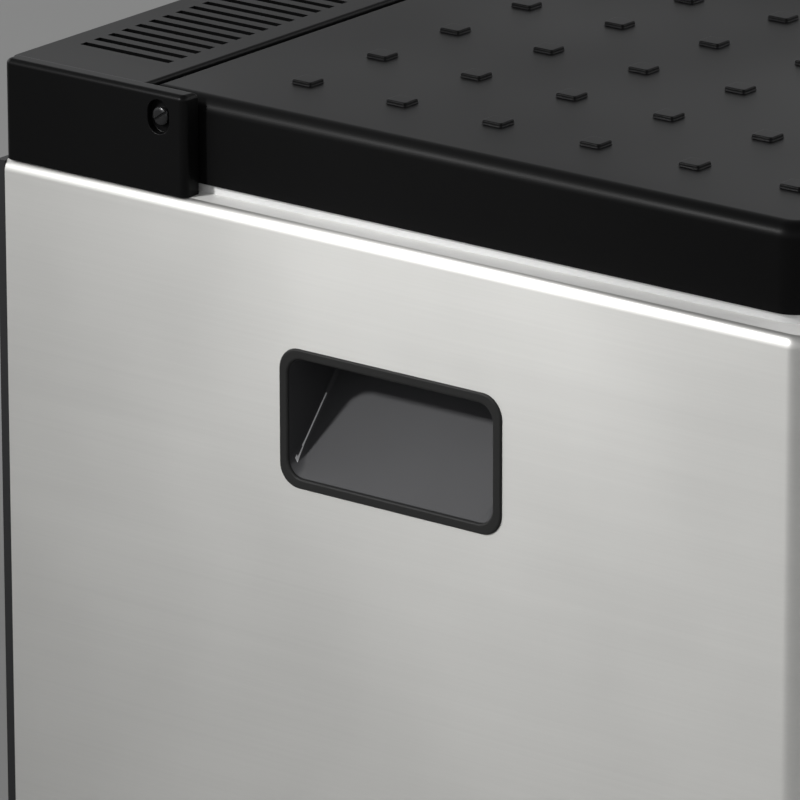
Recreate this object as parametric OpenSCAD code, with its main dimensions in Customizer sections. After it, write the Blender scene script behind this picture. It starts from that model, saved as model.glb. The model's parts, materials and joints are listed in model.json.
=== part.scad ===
// Portable three-way absorption cool box.
// +Z is up, the control panel faces -Y, and the hinge and the cooling unit are at +Y.
// The origin is the middle of the footprint, on the ground. Sizes are in millimetres.

/* [Body] */
// Width of the casing
body_w = 500; // [460:1:620]
// Depth of the casing, front to rear
body_d = 508; // [470:1:640]
// Height of the casing's top edge above the ground
ledge_h = 390.5; // [376:0.5:480]
// Thickness of the casing's sheet
sheet_t = 1; // [0.8:0.1:1.5]
// Radius of the casing's upright front corners
corner_r = 14; // [10:1:20]
// Radius of the bend along the casing's top edge
bend_r = 4.5; // [3:0.5:6]
// How far the rim stands in from the casing's side
rim_inset = 16.5; // [15.5:0.5:20]
// Height of the rubber feet
foot_h = 12; // [8:1:20]
// Radius of a foot
foot_r = 16; // [12:1:22]
// How far a foot's axis is in from the sides
foot_inset = 46; // [40:1:60]
// Height of the base pan's skirt
pan_skirt_h = 18; // [14:1:26]
// Wall of the base pan
pan_wall = 3; // [2.5:0.5:4]

/* [Insulation] */
// Foam thickness at the sides and front
side_foam = 50; // [49:1:56]
// Foam thickness under the food compartment
floor_foam = 47; // [40:1:60]
// Foam thickness behind the food compartment
rear_foam = 47.5; // [40:0.5:60]
// Wall of the food compartment's liner
liner_t = 2.5; // [2:0.5:4]
// Radius of the food compartment's upright corners
liner_corner_r = 20; // [15:1:35]
// Radius around the food compartment's floor
liner_floor_r = 10; // [5:1:14]
// Depth of the cooling unit's space
unit_depth = 86; // [80:1:100]

/* [Lid] */
// Gap between the casing's top edge and the lid
lid_gap = 5.5; // [4:0.5:8]
// Height of the lid's side
lid_h = 45.5; // [42:0.5:54]
// How far the lid's side is in from the casing's side
lid_inset = 12.8; // [12:0.1:13.5]
// Wall of the lid
lid_wall = 2.5; // [2:0.5:3]
// Radius of the lid's upright front corners
lid_corner_r = 16; // [10:1:22]
// Radius of the lid's top edge
lid_edge_r = 8; // [5:0.5:9]
// Distance of the hinge axis from the casing's rear
pivot_back = 106; // [104:1:112]
// Distance of the hinge axis below the lid's top
pivot_drop = 10.8; // [10:0.2:12]
// Radius of the lid's rounded rear end about the hinge axis
nose_r = 17; // [16:0.5:18]
// Length of an anti-slip stud, front to rear
stud_l = 12.5; // [8:0.5:16]
// Width of an anti-slip stud
stud_w = 11.5; // [8:0.5:16]
// Height of an anti-slip stud
stud_h = 2; // [1:0.5:3]
// Distance between studs across the lid
stud_pitch_x = 61.2; // [50:0.1:65]
// Distance between studs from front to rear
stud_pitch_y = 60.4; // [50:0.1:65]
// Distance from the hinge axis to the rearmost studs
stud_from_pivot = 44; // [35:1:55]

/* [Hinge] */
// Thickness of a hinge cheek
cheek_t = 11.1; // [11:0.1:12]
// How far a cheek's outer face is in from the casing's side
cheek_inset = 0.5; // [0:0.1:0.5]
// How far a cheek reaches in front of the hinge axis
cheek_front = 17; // [14:1:24]
// Height of a cheek above the lid's top
cheek_rise = 2.5; // [1:0.5:4]
// Radius of the hinge screw's shoulder
hinge_pin_r = 3; // [2.5:0.1:4]
// Running clearance round the hinge screw
hinge_fit = 0.06; // [0.02:0.01:0.1]

/* [Carrying grips] */
// Width of a grip's surround
grip_w = 140; // [110:1:160]
// Height of a grip's surround
grip_h = 73.8; // [60:0.1:85]
// Radius of the surround's corners
grip_corner_r = 12; // [9:1:16]
// Width of the surround round the opening
grip_border = 5.5; // [4.5:0.5:7]
// How far the surround stands out
grip_proud = 1.2; // [0.8:0.1:1.2]
// Distance of a grip's middle below the casing's top edge
grip_drop = 101.5; // [60:0.5:150]
// Depth of a grip's pocket
grip_depth = 44; // [38:1:44]
// Depth at which a grip's back wall starts to slope
grip_lip = 3; // [2:0.5:5]
// Wall of a grip's cup
grip_wall = 2.5; // [2:0.5:2.5]

/* [Controls] */
// Place of the control panel's middle across the front
panel_x = 95; // [80:1:110]
// Height of the control panel's middle above the ground
panel_z = 90; // [86:1:110]
// Width of the recess for the controls
panel_w = 232; // [226:1:240]
// Height of the recess for the controls
panel_h = 62; // [58:1:70]
// Depth of the recess in front of the fascia
panel_recess = 15; // [15:0.5:16]
// Depth of the space behind the fascia
panel_back = 24.5; // [24.5:0.5:25]
// Radius of the selector and thermostat knobs
knob_r = 16; // [14:0.5:18]
// Radius of the gas knob
gas_knob_r = 18; // [15:0.5:20]
// Radius of the knobs' shafts
shaft_r = 3; // [2.5:0.1:3.5]
// Running clearance round the shafts
shaft_fit = 0.05; // [0.02:0.01:0.1]
// Travel of the gas knob when it is pressed
gas_travel = 3.5; // [2:0.5:3.5]
// Travel of the igniter button
igniter_travel = 4.5; // [3:0.5:4.5]

/* [Cooling unit] */
// Outer radius of the ammonia pipes
pipe_r = 7; // [6:0.5:8]
// Outer radius of the evaporator pipe
evaporator_r = 6; // [5:0.5:6.5]
// Outer radius of the gas pipes
gas_pipe_r = 3; // [2.5:0.5:4]
// Outer radius of the flue
flue_r = 12; // [10:0.5:13]
// Outer radius of the boiler's insulating jacket
jacket_r = 34; // [31:1:36]
// Number of fins on the condenser
fin_count = 20; // [10:1:22]
// Radius of the gas inlet's hose tail
nozzle_r = 5; // [4:0.5:6]

/* [Hidden] */
$fn = 48;

// Small overshoot that makes a cut run clear of a face
past = 1;
// Clearance round a pipe in the foam
channel_gap = 0.5;
// Clearance round a screw
screw_gap = 0.1;
// Shank radii of the small and the large screws
small_screw_r = 1.5;
large_screw_r = 2;

// Main planes
side_x = body_w / 2;
front_y = -body_d / 2;
rear_y = body_d / 2;
casing_rear = rear_y - 4;
back_face = rear_y + grip_proud;
cover_wall = 2.5;
louvre_margin = 18;
pan_floor_t = 4;
pan_floor = foot_h + pan_floor_t;
casing_bottom = foot_h + pan_skirt_h;
pan_top = casing_bottom + 6;
bulkhead_y = rear_y - unit_depth;
bulkhead_t = 1;

// Rim and liner
rim_plate_t = 4;
ledge_under = ledge_h - sheet_t;
foam_top = ledge_under - rim_plate_t;
rim_plate_inset = bend_r + 1.5;
rim_h = 13.5;
rim_corner_r = lid_corner_r - rim_inset + lid_inset;
rim_top = ledge_h + rim_h;
rim_rear = rear_y - 104;
cavity_x = side_x - sheet_t - side_foam - liner_t;
cavity_front = front_y + sheet_t + side_foam + liner_t;
cavity_rear = bulkhead_y - rear_foam - liner_t;
cavity_floor = pan_floor + floor_foam + liner_t;
liner_flange_t = 2;
liner_flange_w = 26;
seal_face = rim_top + liner_flange_t;

// Lid
lid_bottom = ledge_h + lid_gap;
lid_top = lid_bottom + lid_h;
lid_x = side_x - lid_inset;
lid_front = front_y + lid_inset;
pivot_y = rear_y - pivot_back;
pivot_z = lid_top - pivot_drop;
seal_h = 4.7;
seal_gap = 0.3;
seal_w = 12;
lid_liner_z = seal_face + seal_gap + seal_h;
lid_liner_t = 2.5;
plug_gap = 5;
plug_bottom = lid_bottom + 1;
lid_foam_rear = pivot_y - 20;
stud_columns = floor((lid_x - lid_edge_r - stud_w / 2) / stud_pitch_x);
stud_rows = floor((pivot_y - stud_from_pivot - lid_front - lid_edge_r - stud_l / 2) / stud_pitch_y);

// Hinge
cheek_out = side_x - cheek_inset;
cheek_in = cheek_out - cheek_t;
cheek_top = lid_top + cheek_rise;
bush_r = 6;
bush_l = 15;
boss_r = 9;
thrust_t = 0.9;
hinge_head_h = 3.2;
hinge_head_r = 5;
counterbore_d = 4;
counterbore_w = 14;
counterbore_h = 18;
deck_front = pivot_y + nose_r + 1.5;
deck_top = lid_top + 0.5;
deck_wall = 2.5;
cheek_screw_l = 7;

// Carrying grips
grip_z = ledge_h - grip_drop;
grip_open_w = grip_w - 2 * grip_border;
grip_open_h = grip_h - 2 * grip_border;
grip_open_r = grip_corner_r - 3;
slope_start = -grip_open_h / 2 + 3.2;
slope_end = grip_open_h / 2 - 11;

// Control panel, in its own frame: x across, y up, z out of the front, z = 0 on the fascia's face
fascia_y = front_y + panel_recess;
fascia_t = 2.5;
housing_wall = 2;
housing_floor = -fascia_t - panel_back;
panel_corner_r = 8;
panel_flange = 8;
fascia_gap = 0.5;
boss_x = panel_w / 2 - 8;
boss_z = panel_h / 2 - 8;
selector_at = [-80, 0];
thermostat_at = [-30, 0];
gas_at = [25, 0];
post_r = 4;
igniter_at = [72, -12];
window_at = [72, 14];
knob_gap = 0.6;
knob_h = 12;
mark_r = 1;
ring_w = 2;
igniter_r = 7;
igniter_stem_r = 2.5;
window_r = 5;
lamp_r = 3;
lens_flange = 1.5;
lamp_at = [-103, 0];
body_front = -fascia_t;
shaft_end = -19.5;
collar_front = -3;
collar_back = -5;
spring_back = -12;
spindle_front = 11;

// Cooling unit
unit_y = bulkhead_y + 42;
boiler_x = 140;
flue_x = 162;
flue_wall = 1.5;
burner_z = 50;
burner_left = boiler_x - 5;
burner_box_top = 84;
burner_box_wall = 1;
jacket_x = (boiler_x + flue_x) / 2;
heater_offset = 15;
heater_r = 5;
boiler_bottom = 100;
boiler_top = foam_top - 85;
jacket_inset = 8;
heater_low = boiler_bottom + 28;
condenser_z = foam_top - 23;
condenser_left = -150;
condenser_right = 120;
fin_pitch = 12;
evaporator_y = cavity_rear + liner_t + evaporator_r + channel_gap;
evaporator_top = condenser_z - 22;
evaporator_low = evaporator_top - 40;
exchanger_x = -130;
exchanger_y = bulkhead_y + 18;
exchanger_r = 9;
vessel_y = bulkhead_y + 24;
vessel_z = 58;
vessel_r = 19;
coil_y = bulkhead_y + 47;
coil_left = -205;
coil_right = 80;
coil_low = 100;
coil_pitch = 34;
coil_runs = 5;
duct_z = pan_floor + 10;
port_x = 6;
supply_x = panel_x + gas_at[0] + port_x;
feed_x = panel_x + gas_at[0] - port_x;
loom_x = panel_x + selector_at[0];
probe_x = panel_x + thermostat_at[0];
drop_y = fascia_y + 14;
niche_z = 64;
niche_h = 44;
niche_d = 24;
nozzle_neck_r = 4;
inlet_stem_r = 5.5;
inlet_l = 18;
inlet_floor_t = 3;
gas_niche_x = 206;
gas_niche_w = 44;
power_niche_x = -178;
power_niche_w = 92;
mains_x = power_niche_x - 20;
battery_x = power_niche_x + 24;
cover_screw_x = side_x - 10;
cover_screw_z = [62, 165, 265, ledge_h - 28];
cover_head_r = 3.5;
cover_head_h = 1.8;
foot_web = 5;
foot_x = side_x - foot_inset;
foot_y = -front_y - foot_inset;

gas_supply_path = [
    [gas_niche_x, back_face - niche_d - 12, niche_z],
    [gas_niche_x, back_face - niche_d - 12, duct_z],
    [gas_niche_x, bulkhead_y + 10, duct_z],
    [supply_x, bulkhead_y + 10, duct_z],
    [supply_x, drop_y, duct_z],
    [supply_x, drop_y, panel_z - 12]
];
burner_path = [
    [feed_x, drop_y, panel_z - 12],
    [feed_x, drop_y, duct_z],
    [feed_x, unit_y, duct_z],
    [feed_x, unit_y, burner_z],
    [burner_left, unit_y, burner_z]
];
loom_path = [
    [loom_x, drop_y, panel_z - 14],
    [loom_x, drop_y, duct_z],
    [loom_x, back_face - niche_d - 8, duct_z],
    [battery_x, back_face - niche_d - 8, duct_z],
    [battery_x, back_face - niche_d - 8, niche_z]
];
probe_path = [
    [probe_x, drop_y, panel_z - 15],
    [probe_x, drop_y, duct_z],
    [probe_x, evaporator_y, duct_z],
    [probe_x, evaporator_y, evaporator_low - 20]
];
evaporator_path = [
    [condenser_left, unit_y, condenser_z],
    [condenser_left, evaporator_y, condenser_z],
    [condenser_left, evaporator_y, evaporator_top],
    [110, evaporator_y, evaporator_top],
    [110, evaporator_y, evaporator_low],
    [exchanger_x, evaporator_y, evaporator_low],
    [exchanger_x, exchanger_y, evaporator_low]
];
loom_r = 4;
probe_r = 1.2;

// ---- Shared shapes ----

// A quarter of a disc in the first quadrant
module quarter_disc(r) {
    intersection() {
        circle(r);
        square(r);
    }
}

// A flat rectangle with round corners, centred
module round_rect(w, d, r) {
    square([w - 2 * r, d], center = true);
    square([w, d - 2 * r], center = true);
    for (x = [-1, 1], y = [-1, 1])
        translate([x * (w / 2 - r), y * (d / 2 - r)])
            circle(r);
}

// A flat outline between the given sides, with two round front corners and two square rear ones
module front_rounded(half_w, front, rear, r) {
    translate([-half_w, front + r])
        square([2 * half_w, rear - front - r]);
    translate([-half_w + r, front])
        square([2 * (half_w - r), rear - front]);
    for (x = [-1, 1])
        translate([x * (half_w - r), front + r])
            circle(r);
}

// The upright section of a block whose top edges are rounded
module crowned(w, h, edge) {
    translate([-w / 2, 0])
        square([w, h - edge]);
    translate([-w / 2 + edge, 0])
        square([w - 2 * edge, h]);
    for (side = [0, 1])
        mirror([side, 0])
            translate([w / 2 - edge, h - edge])
                quarter_disc(edge);
}

// A block with round upright corners and a round top edge, standing on z = 0, centred
module soft_block(w, d, h, corner, edge) {
    translate([0, d / 2 - corner, 0])
        rotate([90, 0, 0])
            linear_extrude(d - 2 * corner)
                crowned(w, h, edge);
    translate([-w / 2 + corner, 0, 0])
        rotate([90, 0, 90])
            linear_extrude(w - 2 * corner)
                crowned(d, h, edge);
    for (x = [-1, 1], y = [-1, 1])
        translate([x * (w / 2 - corner), y * (d / 2 - corner), 0])
            rotate_extrude() {
                square([corner, h - edge]);
                square([corner - edge, h]);
                translate([corner - edge, h - edge])
                    quarter_disc(edge);
            }
}

// A low surround with a stepped edge, standing on z = 0, centred
module flat_surround(w, d, h, corner) {
    step = h / 2;
    linear_extrude(h - step)
        round_rect(w, d, corner);
    linear_extrude(h)
        round_rect(w - step, d - step, corner - step / 2);
}

// A box between two opposite corners
module box(low, high) {
    translate(low)
        cube(high - low);
}

// A round bar between two points
module bar(a, b, r) {
    run = b - a;
    reach = norm(run);
    translate(a)
        rotate([0, acos(run[2] / reach), atan2(run[1], run[0])])
            cylinder(r = r, h = reach);
}

// A pipe through a list of points, with a ball at each bend
module pipe(path, r) {
    for (i = [1 : len(path) - 1])
        bar(path[i - 1], path[i], r);
    if (len(path) > 2)
        for (i = [1 : len(path) - 2])
            translate(path[i])
                sphere(r);
}

// The square channel cut for a pipe whose runs are all along the axes
module channel(path, r) {
    for (i = [1 : len(path) - 1])
        let (a = path[i - 1], b = path[i])
            box([for (k = [0 : 2]) min(a[k], b[k]) - r], [for (k = [0 : 2]) max(a[k], b[k]) + r]);
}

// A coil spring on z, between z = 0 and z = length
module coil_spring(coil_r, wire_r, length, turns) {
    sides = 6;
    steps = turns * 12;
    rise = length - 2 * wire_r;
    points = [
        for (i = [0 : steps], j = [0 : sides - 1])
            let (turn = 360 * turns * i / steps, around = 360 * j / sides)
            let (reach = coil_r + wire_r * cos(around))
            [reach * cos(turn), reach * sin(turn), wire_r + rise * i / steps + wire_r * sin(around)]
    ];
    walls = [
        for (i = [0 : steps - 1], j = [0 : sides - 1])
            let (a = i * sides + j, b = i * sides + (j + 1) % sides)
            for (face = [[a, b, b + sides], [a, b + sides, a + sides]])
                face
    ];
    near_cap = [[for (j = [0 : sides - 1]) sides - 1 - j]];
    far_cap = [[for (j = [0 : sides - 1]) steps * sides + j]];
    polyhedron(points = points, faces = concat(walls, near_cap, far_cap));
}

// A cross-slotted pan-head screw: its head stands on z = 0 and its shank points down
module pan_screw(head_r, head_h, shank_r, shank_l) {
    difference() {
        union() {
            cylinder(r1 = head_r, r2 = head_r * 0.8, h = head_h);
            translate([0, 0, -shank_l])
                cylinder(r = shank_r, h = shank_l + past / 2);
        }
        for (turn = [0, 90])
            rotate([0, 0, turn])
                translate([-head_r * 0.6, -head_r * 0.12, head_h * 0.5])
                    cube([head_r * 1.2, head_r * 0.24, head_h]);
    }
}

// ---- Casing and base ----

// The casing's outside, made smaller by inset on every side but the rear
module casing_form(inset) {
    run_out = corner_r + 20;
    front = front_y + inset;
    rear = casing_rear + run_out;
    base = casing_bottom - run_out;
    translate([0, (front + rear) / 2, base])
        soft_block(body_w - 2 * inset, rear - front, ledge_h - inset - base, corner_r - inset, bend_r - inset);
}

module outer_casing() {
    color("lightgray")
        difference() {
            intersection() {
                casing_form(0);
                box([-body_w, -body_d, casing_bottom], [body_w, casing_rear, ledge_h + past]);
            }
            casing_form(sheet_t);
            translate([0, 0, ledge_under - past])
                linear_extrude(sheet_t + 2 * past)
                    front_rounded(side_x - rim_inset, front_y + rim_inset, body_d, rim_corner_r);
            for (side = [0, 1])
                mirror([side, 0, 0])
                    grip_column(grip_wall);
            panel_place()
                translate([0, 0, -past])
                    linear_extrude(panel_recess + 3 * past)
                        round_rect(panel_w + 2 * housing_wall, panel_h + 2 * housing_wall,
                            panel_corner_r + housing_wall);
        }
}

// The outline that is rounded at the front, raised between two heights
module front_rounded_slab(half_w, front, rear, r, low, high) {
    translate([0, 0, low])
        linear_extrude(high - low)
            front_rounded(half_w, front, rear, r);
}

module base_pan() {
    step = sheet_t + pan_wall;
    color("dimgray")
        difference() {
            union() {
                front_rounded_slab(side_x, front_y, casing_rear, corner_r, foot_h, casing_bottom);
                front_rounded_slab(side_x - sheet_t, front_y + sheet_t, casing_rear - sheet_t,
                    corner_r - sheet_t, casing_bottom - past, pan_top);
            }
            difference() {
                front_rounded_slab(side_x - step, front_y + step, casing_rear - step, corner_r - step,
                    pan_floor, pan_top + past);
                box([-body_w, bulkhead_y, foot_h], [body_w, bulkhead_y + pan_wall, pan_top]);
            }
            for (x = [supply_x, feed_x, loom_x])
                translate([x, bulkhead_y - past, duct_z])
                    rotate([-90, 0, 0])
                        cylinder(r = loom_r + channel_gap, h = pan_wall + 2 * past);
            air_slots();
            for (x = [-foot_x, foot_x], y = [-foot_y, foot_y])
                translate([x, y, foot_h - past])
                    cylinder(r = large_screw_r + screw_gap, h = pan_floor_t + 2 * past);
        }
}

// Slots in the base pan that let air in to the burner and the condenser
module air_slots() {
    slot_w = 5;
    slot_l = 46;
    pitch = 14;
    margin = 20;
    count = floor((2 * foot_x - 2 * foot_r - margin) / pitch);
    for (i = [0 : count - 1])
        translate([(i - (count - 1) / 2) * pitch - slot_w / 2, bulkhead_y + margin, foot_h - past])
            cube([slot_w, slot_l, pan_floor_t + 2 * past]);
}

module foot() {
    sole_inset = 4;
    sole_edge = 1.5;
    well_r = 6;
    difference() {
        rotate_extrude()
            polygon([[0, 0], [foot_r - sole_inset, 0], [foot_r - sole_inset + sole_edge, sole_edge],
                [foot_r, foot_h], [0, foot_h]]);
        translate([0, 0, -past])
            cylinder(r = well_r, h = foot_h - foot_web + past);
        cylinder(r = large_screw_r + screw_gap, h = foot_h + past);
    }
}

module feet() {
    color("black")
        for (x = [-foot_x, foot_x], y = [-foot_y, foot_y])
            translate([x, y, 0])
                foot();
}

module foot_screws() {
    color("silver")
        for (x = [-foot_x, foot_x], y = [-foot_y, foot_y])
            translate([x, y, foot_h - foot_web])
                rotate([180, 0, 0])
                    pan_screw(4.5, 2.5, large_screw_r, foot_web + pan_floor_t);
}

module insulation_body() {
    step = sheet_t + pan_wall;
    color("khaki")
        difference() {
            union() {
                front_rounded_slab(side_x - step, front_y + step, bulkhead_y, corner_r - step,
                    pan_floor, pan_top);
                front_rounded_slab(side_x - sheet_t, front_y + sheet_t, bulkhead_y,
                    corner_r - sheet_t, pan_top, foam_top);
            }
            liner_tub(liner_t);
            for (side = [0, 1])
                mirror([side, 0, 0])
                    grip_pocket(grip_wall);
            housing_form(housing_wall);
            channel(gas_supply_path, gas_pipe_r + channel_gap);
            channel(burner_path, gas_pipe_r + channel_gap);
            channel(loom_path, loom_r + channel_gap);
            channel(probe_path, probe_r + channel_gap);
            channel(evaporator_path, evaporator_r + channel_gap);
        }
}

// The food compartment's space, made larger by grow, up to the top of the rim
module liner_tub(grow) {
    width = 2 * (cavity_x + grow);
    depth = cavity_rear - cavity_front + 2 * grow;
    height = rim_top - cavity_floor + grow;
    translate([0, (cavity_front + cavity_rear) / 2, rim_top])
        mirror([0, 0, 1])
            soft_block(width, depth, height, liner_corner_r + grow, liner_floor_r + grow);
}

module inner_liner() {
    width = 2 * (cavity_x + liner_t);
    depth = cavity_rear - cavity_front + 2 * liner_t;
    color("whitesmoke")
        difference() {
            union() {
                liner_tub(liner_t);
                translate([0, (cavity_front + cavity_rear) / 2, rim_top])
                    linear_extrude(liner_flange_t)
                        round_rect(width + 2 * liner_flange_w, depth + 2 * liner_flange_w,
                            liner_corner_r + 10);
            }
            liner_tub(0);
            translate([0, (cavity_front + cavity_rear) / 2, rim_top - past])
                linear_extrude(liner_flange_t + 2 * past)
                    round_rect(2 * cavity_x, cavity_rear - cavity_front, liner_corner_r);
        }
}

module rim_frame() {
    color("gainsboro")
        difference() {
            union() {
                front_rounded_slab(side_x - rim_plate_inset, front_y + rim_plate_inset, bulkhead_y,
                    corner_r - rim_plate_inset, foam_top, ledge_under);
                front_rounded_slab(side_x - rim_inset, front_y + rim_inset, rim_rear, rim_corner_r,
                    ledge_under - past, rim_top);
            }
            translate([0, (cavity_front + cavity_rear) / 2, foam_top - past])
                linear_extrude(rim_top - foam_top + 2 * past)
                    round_rect(2 * (cavity_x + liner_t), cavity_rear - cavity_front + 2 * liner_t,
                        liner_corner_r + liner_t);
        }
}

// ---- Rear of the casing ----

module rear_bulkhead() {
    flange_w = 15;
    inner = side_x - sheet_t - bulkhead_t;
    color("silver")
        difference() {
            box([-side_x + sheet_t, bulkhead_y, pan_top], [side_x - sheet_t, casing_rear, foam_top]);
            box([-inner, bulkhead_y + bulkhead_t, pan_top - past],
                [inner, casing_rear - bulkhead_t, foam_top + past]);
            box([-inner + flange_w, bulkhead_y + bulkhead_t, pan_top - past],
                [inner - flange_w, casing_rear + past, foam_top + past]);
            channel(evaporator_path, evaporator_r + channel_gap);
            for (x = [-cover_screw_x, cover_screw_x], z = cover_screw_z)
                translate([x, casing_rear - 2 * past, z])
                    rotate([-90, 0, 0])
                        cylinder(r = small_screw_r + screw_gap, h = 4 * past);
        }
}

// A niche in the rear cover: its outside, or with grow = 0 its inside
module rear_niche(x, w, grow) {
    box([x - w / 2 - grow, back_face - niche_d - grow, niche_z - niche_h / 2 - grow],
        [x + w / 2 + grow, back_face - (grow > 0 ? 1 : -past), niche_z + niche_h / 2 + grow]);
}

module rear_cover() {
    side_band = 20;
    color("dimgray")
        difference() {
            union() {
                difference() {
                    box([-side_x, casing_rear, casing_bottom], [side_x, back_face, ledge_under]);
                    box([-side_x + side_band, casing_rear - past, casing_bottom + cover_wall],
                        [side_x - side_band, back_face - cover_wall, ledge_under - cover_wall]);
                }
                rear_niche(gas_niche_x, gas_niche_w, cover_wall);
                rear_niche(power_niche_x, power_niche_w, cover_wall);
            }
            rear_niche(gas_niche_x, gas_niche_w, 0);
            rear_niche(power_niche_x, power_niche_w, 0);
            cover_louvres();
            for (x = [-cover_screw_x, cover_screw_x], z = cover_screw_z)
                translate([x, back_face - cover_head_h, z])
                    rotate([-90, 0, 0]) {
                        cylinder(r = cover_head_r + screw_gap, h = 10);
                        translate([0, 0, -10])
                            cylinder(r = small_screw_r + screw_gap, h = 10 + past);
                    }
            translate([gas_niche_x, back_face - niche_d - 2 * cover_wall, niche_z])
                rotate([-90, 0, 0])
                    cylinder(r = nozzle_neck_r + screw_gap, h = 3 * cover_wall);
            for (x = [mains_x, battery_x])
                translate([x, back_face - niche_d - 2 * cover_wall, niche_z])
                    rotate([-90, 0, 0])
                        cylinder(r = inlet_stem_r + 0.5, h = 3 * cover_wall);
        }
}

// Columns of flat slots through the rear cover
module cover_louvres() {
    slot_w = 84;
    slot_h = 5;
    pitch_z = 12;
    columns = 4;
    side_margin = 30;
    top_margin = 24;
    pitch_x = 2 * (side_x - side_margin) / columns;
    low = niche_z + niche_h / 2 + louvre_margin;
    rows = floor((ledge_under - top_margin - low) / pitch_z);
    for (i = [0 : columns - 1], j = [0 : rows - 1])
        translate([(i - (columns - 1) / 2) * pitch_x - slot_w / 2, casing_rear - past, low + j * pitch_z])
            cube([slot_w, 10, slot_h]);
}

module rear_cover_screws() {
    color("silver")
        for (x = [-cover_screw_x, cover_screw_x], z = cover_screw_z)
            translate([x, back_face - cover_head_h, z])
                rotate([-90, 0, 0])
                    pan_screw(cover_head_r, cover_head_h, small_screw_r, 8);
}

module rear_deck() {
    depth = back_face - deck_front;
    width = 2 * cheek_in;
    middle = (deck_front + back_face) / 2;
    slot_w = 5;
    slot_margin = 15;
    pitch = 11;
    slot_l = depth - 2 * slot_margin;
    count = floor((width - 4 * slot_margin) / pitch);
    color("black")
        difference() {
            translate([0, middle, ledge_under])
                soft_block(width, depth, deck_top - ledge_under, 4, 2);
            translate([0, middle, ledge_under - past])
                soft_block(width - 2 * deck_wall, depth - 2 * deck_wall,
                    deck_top - ledge_under - deck_wall + past, 2, 1);
            for (side = [0, 1])
                mirror([side, 0, 0])
                    box([side_x - rim_inset, 0, ledge_under - past], [body_w, body_d, ledge_h]);
            for (i = [0 : count - 1])
                translate([(i - (count - 1) / 2) * pitch - slot_w / 2, middle - slot_l / 2,
                    deck_top - deck_wall - past])
                    cube([slot_w, slot_l, deck_wall + 2 * past]);
            cheek_screw_places()
                translate([0, 0, -past])
                    cylinder(r = large_screw_r + screw_gap, h = deck_wall + 2 * past);
        }
}

// Where the screws go through the deck's ends into the cheeks; z points outwards
module cheek_screw_places() {
    for (side = [-1, 1], y = [deck_front + 20, back_face - 22])
        translate([side * (cheek_in - deck_wall), y, (ledge_h + deck_top) / 2])
            rotate([0, side * 90, 0])
                children();
}

module cheek_screws() {
    color("silver")
        cheek_screw_places()
            rotate([180, 0, 0])
                pan_screw(4, 2, large_screw_r, deck_wall + cheek_screw_l);
}

// ---- Hinge ----

module hinge_cheek() {
    front = pivot_y - cheek_front;
    rear = casing_rear;
    buried = 12;
    height = cheek_top - ledge_h + buried;
    difference() {
        translate([cheek_in, (front + rear) / 2, cheek_top - height / 2])
            rotate([0, 90, 0])
                soft_block(height, rear - front, cheek_t, 4, 3);
        box([0, 0, ledge_h - 2 * buried], [body_w, body_d, ledge_h]);
        translate([cheek_in - past, pivot_y, pivot_z])
            rotate([0, 90, 0])
                cylinder(r = hinge_pin_r, h = cheek_t + 2 * past);
        translate([cheek_out - counterbore_d, pivot_y, pivot_z])
            rotate([0, 90, 0])
                linear_extrude(counterbore_d + past)
                    round_rect(counterbore_h, counterbore_w, counterbore_w / 2 - 0.01);
        cheek_screw_places()
            translate([0, 0, deck_wall - past])
                cylinder(r = large_screw_r + screw_gap, h = cheek_screw_l + 2 * past);
    }
}

module hinge_cheek_left() {
    color("black")
        mirror([1, 0, 0])
            hinge_cheek();
}

module hinge_cheek_right() {
    color("black")
        hinge_cheek();
}

module hinge_screw() {
    head = cheek_out - counterbore_d;
    slot_w = 1.4;
    slot_d = 1.4;
    slot_turn = 35;
    translate([0, pivot_y, pivot_z])
        rotate([0, 90, 0])
            difference() {
                union() {
                    translate([0, 0, lid_x - bush_l + past])
                        cylinder(r = hinge_pin_r, h = head - lid_x + bush_l);
                    translate([0, 0, head])
                        cylinder(r1 = hinge_head_r, r2 = hinge_head_r - 0.6, h = hinge_head_h);
                }
                rotate([0, 0, slot_turn])
                    translate([-hinge_head_r - past, -slot_w / 2, head + hinge_head_h - slot_d])
                        cube([2 * (hinge_head_r + past), slot_w, slot_d + past]);
            }
}

module hinge_screws() {
    color("dimgray")
        for (side = [0, 1])
            mirror([side, 0, 0])
                hinge_screw();
}

module hinge_bushes() {
    color("peru")
        for (side = [0, 1])
            mirror([side, 0, 0])
                translate([lid_x - bush_l, pivot_y, pivot_z])
                    rotate([0, 90, 0])
                        difference() {
                            union() {
                                cylinder(r = bush_r, h = bush_l);
                                translate([0, 0, bush_l])
                                    cylinder(r = bush_r + 2, h = thrust_t);
                            }
                            translate([0, 0, -past])
                                cylinder(r = hinge_pin_r + hinge_fit, h = bush_l + thrust_t + 2 * past);
                        }
}

// ---- Lid ----

// The lid's outside, made smaller by inset: a soft block that ends in a nose about the hinge axis
module lid_form(inset, bottom) {
    run_out = nose_r + lid_corner_r + past;
    front = lid_front + inset;
    rear = pivot_y + run_out;
    intersection() {
        translate([0, (front + rear) / 2, bottom])
            soft_block(2 * (lid_x - inset), rear - front, lid_top - inset - bottom,
                lid_corner_r - inset, lid_edge_r - inset);
        translate([-body_w / 2, 0, 0])
            rotate([90, 0, 90])
                linear_extrude(body_w) {
                    translate([front, bottom])
                        square([pivot_y - inset - front, lid_top - bottom]);
                    translate([pivot_y, pivot_z])
                        circle(nose_r - inset);
                    translate([pivot_y - nose_r, pivot_z])
                        square([nose_r, pivot_drop]);
                }
    }
}

// A cylinder inside each side of the lid, on the hinge axis
module lid_pivots(r, from, to) {
    for (side = [0, 1])
        mirror([side, 0, 0])
            translate([from, pivot_y, pivot_z])
                rotate([0, 90, 0])
                    cylinder(r = r, h = to - from);
}

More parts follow.
